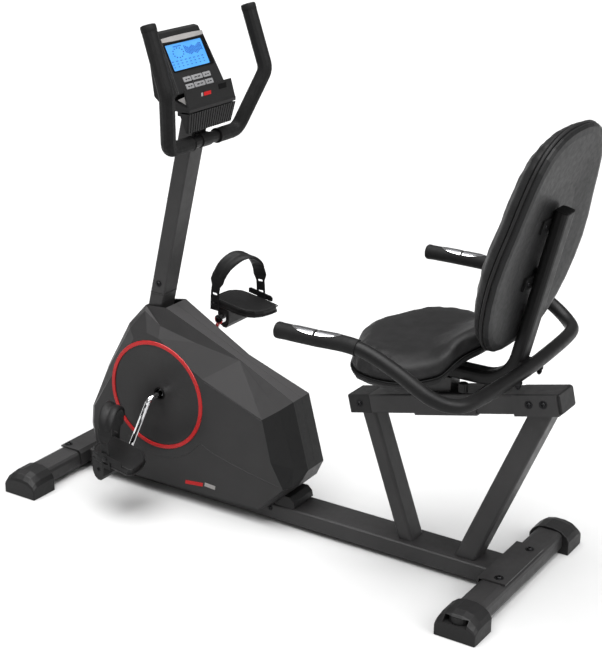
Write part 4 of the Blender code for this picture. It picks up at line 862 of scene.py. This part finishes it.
for side, sign in SIDES:
    arc = []
    for i in range(15):
        turn = math.radians(-128.0 + 6.5 * i)
        arc.append((HUB[0] + 0.1640 * math.cos(turn), HUB[1] + 0.1640 * math.sin(turn)))
    arc = [(x, z) for x, z in arc if z > 0.0450]
    lines = [crease(sign, [(0.4870, 0.3400), (0.5650, 0.3130), (0.6520, 0.2790)]),
             crease(sign, [(0.4700, 0.1740), (0.5150, 0.1550), (0.6180, 0.1320), (0.7000, 0.1190)]),
             crease(sign, arc)]
    piece("shroud_creases_" + side, joined(lines), SHROUD, "base")
    pale = side_slab(sign, [(0.4820, 0.0720), (0.5140, 0.0700), (0.5120, 0.0600),
                            (0.4800, 0.0620)])
    red = side_slab(sign, [(0.4220, 0.0630), (0.4760, 0.0690), (0.4740, 0.0590),
                           (0.4200, 0.0530)])
    piece("side_stripe_pale_" + side, pale, STRIP, "base")
    piece("side_stripe_red_" + side, red, RED, "base")
    hub_ring = turned([(0.0122, 0.0540), (0.0122, 0.0622), (0.0150, 0.0622), (0.0165, 0.0606),
                       (0.0165, 0.0540)], at(HUB[0], 0.0, HUB[1]), (0, sign, 0), 32, solid=False)
    piece("hub_collar_" + side, hub_ring, DARK, "base")

# ------------------------------------------------------------ crank, pedals
STRAP_REACH = {"left": 0.0260, "right": 0.0455}
PEDAL_PLAN = ((-0.0670, 0.0120), (-0.0630, 0.0030), (-0.0550, 0.0000), (0.0180, 0.0000),
              (0.0400, 0.0060), (0.0570, 0.0200), (0.0680, 0.0420), (0.0730, 0.0660),
              (0.0740, 0.0880), (0.0660, 0.0980), (-0.0300, 0.0980), (-0.0510, 0.0900),
              (-0.0640, 0.0720), (-0.0670, 0.0500))


def pedal_plan(scale):
    """The tread's outline, scaled about its middle and set 3 mm forward of the spindle."""
    return [(0.003 + a * scale, 0.049 + (b - 0.049) * scale) for a, b in PEDAL_PLAN]


def inside(spot, outline):
    """Whether a plan point lies within the outline."""
    found = False
    for (ax, ay), (bx, by) in zip(outline, outline[1:] + outline[:1]):
        if (ay > spot[1]) != (by > spot[1]):
            if spot[0] < (bx - ax) * (spot[1] - ay) / (by - ay) + ax:
                found = not found
    return found


def strap_path(side, sign, eye):
    """Arch of the foot strap, as in the CAD, as a list of points."""
    inner_y = 0.1340 - 0.0016
    outer_y = 0.2320 + 0.0016
    middle_y = (inner_y + outer_y) / 2
    reach = STRAP_REACH[side]
    arch = []
    for ahead, out, height in ((-0.0280, inner_y, 0.0140), (-0.0260, inner_y, 0.0500),
                               (-0.0220, inner_y, 0.0780), (-0.0150, inner_y + 0.003, 0.1050),
                               (-0.0020, inner_y + 0.017, 0.1320),
                               (0.3000 * reach, middle_y - 0.012, 0.1490),
                               (0.5800 * reach, middle_y + 0.012, 0.1500),
                               (0.8200 * reach, outer_y - 0.016, 0.1340),
                               (0.9200 * reach, outer_y - 0.003, 0.1080),
                               (0.9600 * reach, outer_y, 0.0780), (reach, outer_y, 0.0400),
                               (reach + 0.0010, outer_y, 0.0100)):
        arch.append(at(eye[0] + ahead, sign * out, eye[1] + height))
    return open_curve(arch, 4)


tilt = Vector((math.cos(PEDAL_PITCH), 0.0, -math.sin(PEDAL_PITCH)))
lift = Vector((math.sin(PEDAL_PITCH), 0.0, math.cos(PEDAL_PITCH)))
for side, sign in SIDES:
    eye = (HUB[0] + 0.0600 * sign, HUB[1] + 0.1550 * sign)
    body = "pedal_unit_" + side
    tread = at(eye[0] + 0.0260, 0.0, eye[1] + 0.0255)

    def on_tread(ahead, out, height):
        spot = tread + tilt * ahead + lift * height
        spot.y = sign * (0.1340 + out)
        return spot

    small = pedal_plan(0.86)
    studs = []
    for i in range(-21, 24):
        for k in range(0, 30):
            spot = (i * 0.0032, 0.0016 + k * 0.0034 + (0.0017 if i % 2 else 0.0))
            if not inside(spot, small):
                continue
            low = [on_tread(spot[0] + a, spot[1] + b, 0.0092)
                   for a, b in ((-0.0013, 0), (0, -0.0013), (0.0013, 0), (0, 0.0013))]
            high = [on_tread(spot[0] + a * 0.35, spot[1] + b * 0.35, 0.0103)
                    for a, b in ((-0.0013, 0), (0, -0.0013), (0.0013, 0), (0, 0.0013))]
            studs.append(lofted([low, high]))
    piece("tread_studs_" + side, joined(studs), RUBBER, body)
    rim_path = closed_curve([on_tread(a, b, 0.0094) for a, b in pedal_plan(0.95)], 3)
    piece("tread_rim_" + side, tube(rim_path, circle(0.0013, 8), lift, True), PLASTIC, body)
    skirt = [[on_tread(a, b, height) for a, b in pedal_plan(scale)]
             for scale, height in ((0.97, -0.0055), (1.012, -0.0050), (1.012, -0.0030),
                                   (0.97, -0.0025))]
    piece("pedal_skirt_" + side, lofted(skirt, False), PLASTIC, body)

    path = strap_path(side, sign, eye)
    arch = path[12:33]
    pad_rings = []
    for i, point in enumerate(arch):
        along = (arch[min(i + 1, len(arch) - 1)] - arch[max(i - 1, 0)]).normalized()
        wide = (tilt - along * tilt.dot(along)).normalized()
        out = along.cross(wide)
        centre = on_tread(0.0, 0.049, 0.060)    # under the arch, inside the strap
        if out.dot(point - centre) < 0:
            out = -out
        swell = math.sin(math.pi * i / (len(arch) - 1)) ** 0.35
        width = 0.0150 + 0.0075 * swell
        thick = 0.0010 + 0.0046 * swell
        section = []
        for across, rise in ((-1.0, 0.0), (-0.94, 0.7), (-0.75, 1.0), (-0.30, 1.0), (-0.12, 0.55),
                             (0.12, 0.55), (0.30, 1.0), (0.75, 1.0), (0.94, 0.7), (1.0, 0.0),
                             (0.75, -0.35), (-0.75, -0.35)):
            section.append(point + wide * width * across + out * (0.0012 + thick * rise))
        pad_rings.append(section)
    piece("strap_pad_" + side, lofted(pad_rings), RUBBER, body, 50.0)

    holes = []
    for index, reach in ((2, 0), (5, 0), (36, 1), (39, 1), (42, 1)):
        point = path[index]
        along = (path[index + 1] - path[index - 1]).normalized()
        wide = (tilt - along * tilt.dot(along)).normalized()
        out = along.cross(wide)
        corners = [point + wide * a + along * b for a, b in rounded(0.0150, 0.0060, 0.0025, 2)]
        holes.append(slab(corners, out * -0.0060, out * 0.0060))
    cutter = piece("strap_slots_" + side, joined(holes), RUBBER, body)
    cutter.hide_render = True
    cutter.hide_viewport = True
    slots = nodes["pedal_strap_" + side].modifiers.new("slots", "BOOLEAN")
    slots.operation = "DIFFERENCE"
    slots.solver = "EXACT"
    slots.object = cutter

    ear = [at(eye[0] + a, sign * 0.2364, eye[1] + b) for a, b in (
        (0.0060, 0.0390), (0.0060, 0.0500), (0.0120, 0.0520), (0.0740, 0.0400),
        (0.0790, 0.0350), (0.0780, 0.0270), (0.0720, 0.0260))]
    piece("strap_tail_" + side, slab(ear, Vector((0, -0.0013, 0)), Vector((0, 0.0013, 0))), RUBBER,
          body)
    pin = turned([(0.0, 0.0), (0.0060, 0.0), (0.0060, 0.0030), (0.0040, 0.0042), (0.0, 0.0044)],
                 at(eye[0] + STRAP_REACH[side], sign * 0.2372, eye[1] + 0.0360), (0, sign, 0), 20)
    piece("strap_pin_" + side, pin, PLASTIC, body)
    nut = turned([(0.0, 0.0), (0.0088, 0.0), (0.0088, 0.0012), (0.0076, 0.0014), (0.0076, 0.0052),
                  (0.0066, 0.0060), (0.0, 0.0060)], at(eye[0], sign * 0.1116, eye[1]),
                 (0, -sign, 0), 24, 0.0080)
    piece("pedal_nut_" + side, nut, BOLT, "crank")

# ---------------------------------------------------------- floor and light
FLOOR_REACH = 300
floor_mesh = bpy.data.meshes.new("studio_floor")
floor_corners = [(x * FLOOR_REACH, y * FLOOR_REACH, 0)
                 for x, y in ((-1, -1), (1, -1), (1, 1), (-1, 1))]
floor_mesh.from_pydata(floor_corners, [], [(0, 1, 2, 3)])
floor = bpy.data.objects.new("studio_floor", floor_mesh)
bpy.context.collection.objects.link(floor)
floor_look, floor_tree, floor_shader, floor_spot = start_look("studio_paper", specular=0.1)
floor_shade = remap(floor_tree, noise(floor_tree, floor_spot, 3.0), 0.3, 0.7, 0.0, 1.0)
floor_tree.links.new(mixed(floor_tree, floor_shade, (0.40, 0.40, 0.40), (0.42, 0.42, 0.42)),
                     floor_shader.inputs["Base Color"])
floor_shader.inputs["Roughness"].default_value = 0.9
floor_mesh.materials.append(floor_look)

world = bpy.data.worlds.new("studio")
world.use_nodes = True
world.node_tree.nodes["Background"].inputs["Color"].default_value = (1.0, 1.0, 1.0, 1.0)
world.node_tree.nodes["Background"].inputs["Strength"].default_value = 0.25
bpy.context.scene.world = world


def light(name, kind, strength):
    """A lamp of the given kind and its object."""
    lamp = bpy.data.lights.new(name, kind)
    lamp.energy = strength
    holder = bpy.data.objects.new(name, lamp)
    bpy.context.collection.objects.link(holder)
    return lamp, holder


KEY_SPOT = Vector((0.6, -3.6, 2.6))
KEY_TARGET = Vector((0.0, 0.0, 0.6))
key_lamp, key_holder = light("key_light", "AREA", 26.0)
key_lamp.shape = "RECTANGLE"
key_lamp.size = 2.2
key_lamp.size_y = 2.2
key_holder.location = KEY_SPOT
key_holder.rotation_euler = (KEY_TARGET - KEY_SPOT).to_track_quat("-Z", "Y").to_euler()
for lamp_name, heading, strength, softness in (
        ("rear_sun", (0.80, -0.05, 0.60), 2.8, 40.0), ("top_sun", (-0.05, -0.16, 1.0), 6.8, 60.0)):
    sun, sun_holder = light(lamp_name, "SUN", strength)
    sun.angle = math.radians(softness)
    sun_holder.rotation_euler = Vector(heading).to_track_quat("Z", "Y").to_euler()

# The camera that fits the photograph's perspective
CAMERA_SPOT = (1.84836, -2.78462, 1.73835)
CAMERA_PITCH = 69.788
CAMERA_TURN = 33.265
FOCAL_LENGTH = 91.15

bpy.context.scene.view_settings.view_transform = "Standard"
lens = bpy.data.cameras.new("camera")
lens.sensor_fit = "HORIZONTAL"
lens.sensor_width = 36.0
lens.lens = FOCAL_LENGTH
lens.clip_end = 200.0
camera = bpy.data.objects.new("camera", lens)
camera.location = CAMERA_SPOT
camera.rotation_euler = (math.radians(CAMERA_PITCH), 0.0, math.radians(CAMERA_TURN))
bpy.context.collection.objects.link(camera)
bpy.context.scene.camera = camera

bpy.context.view_layer.update()
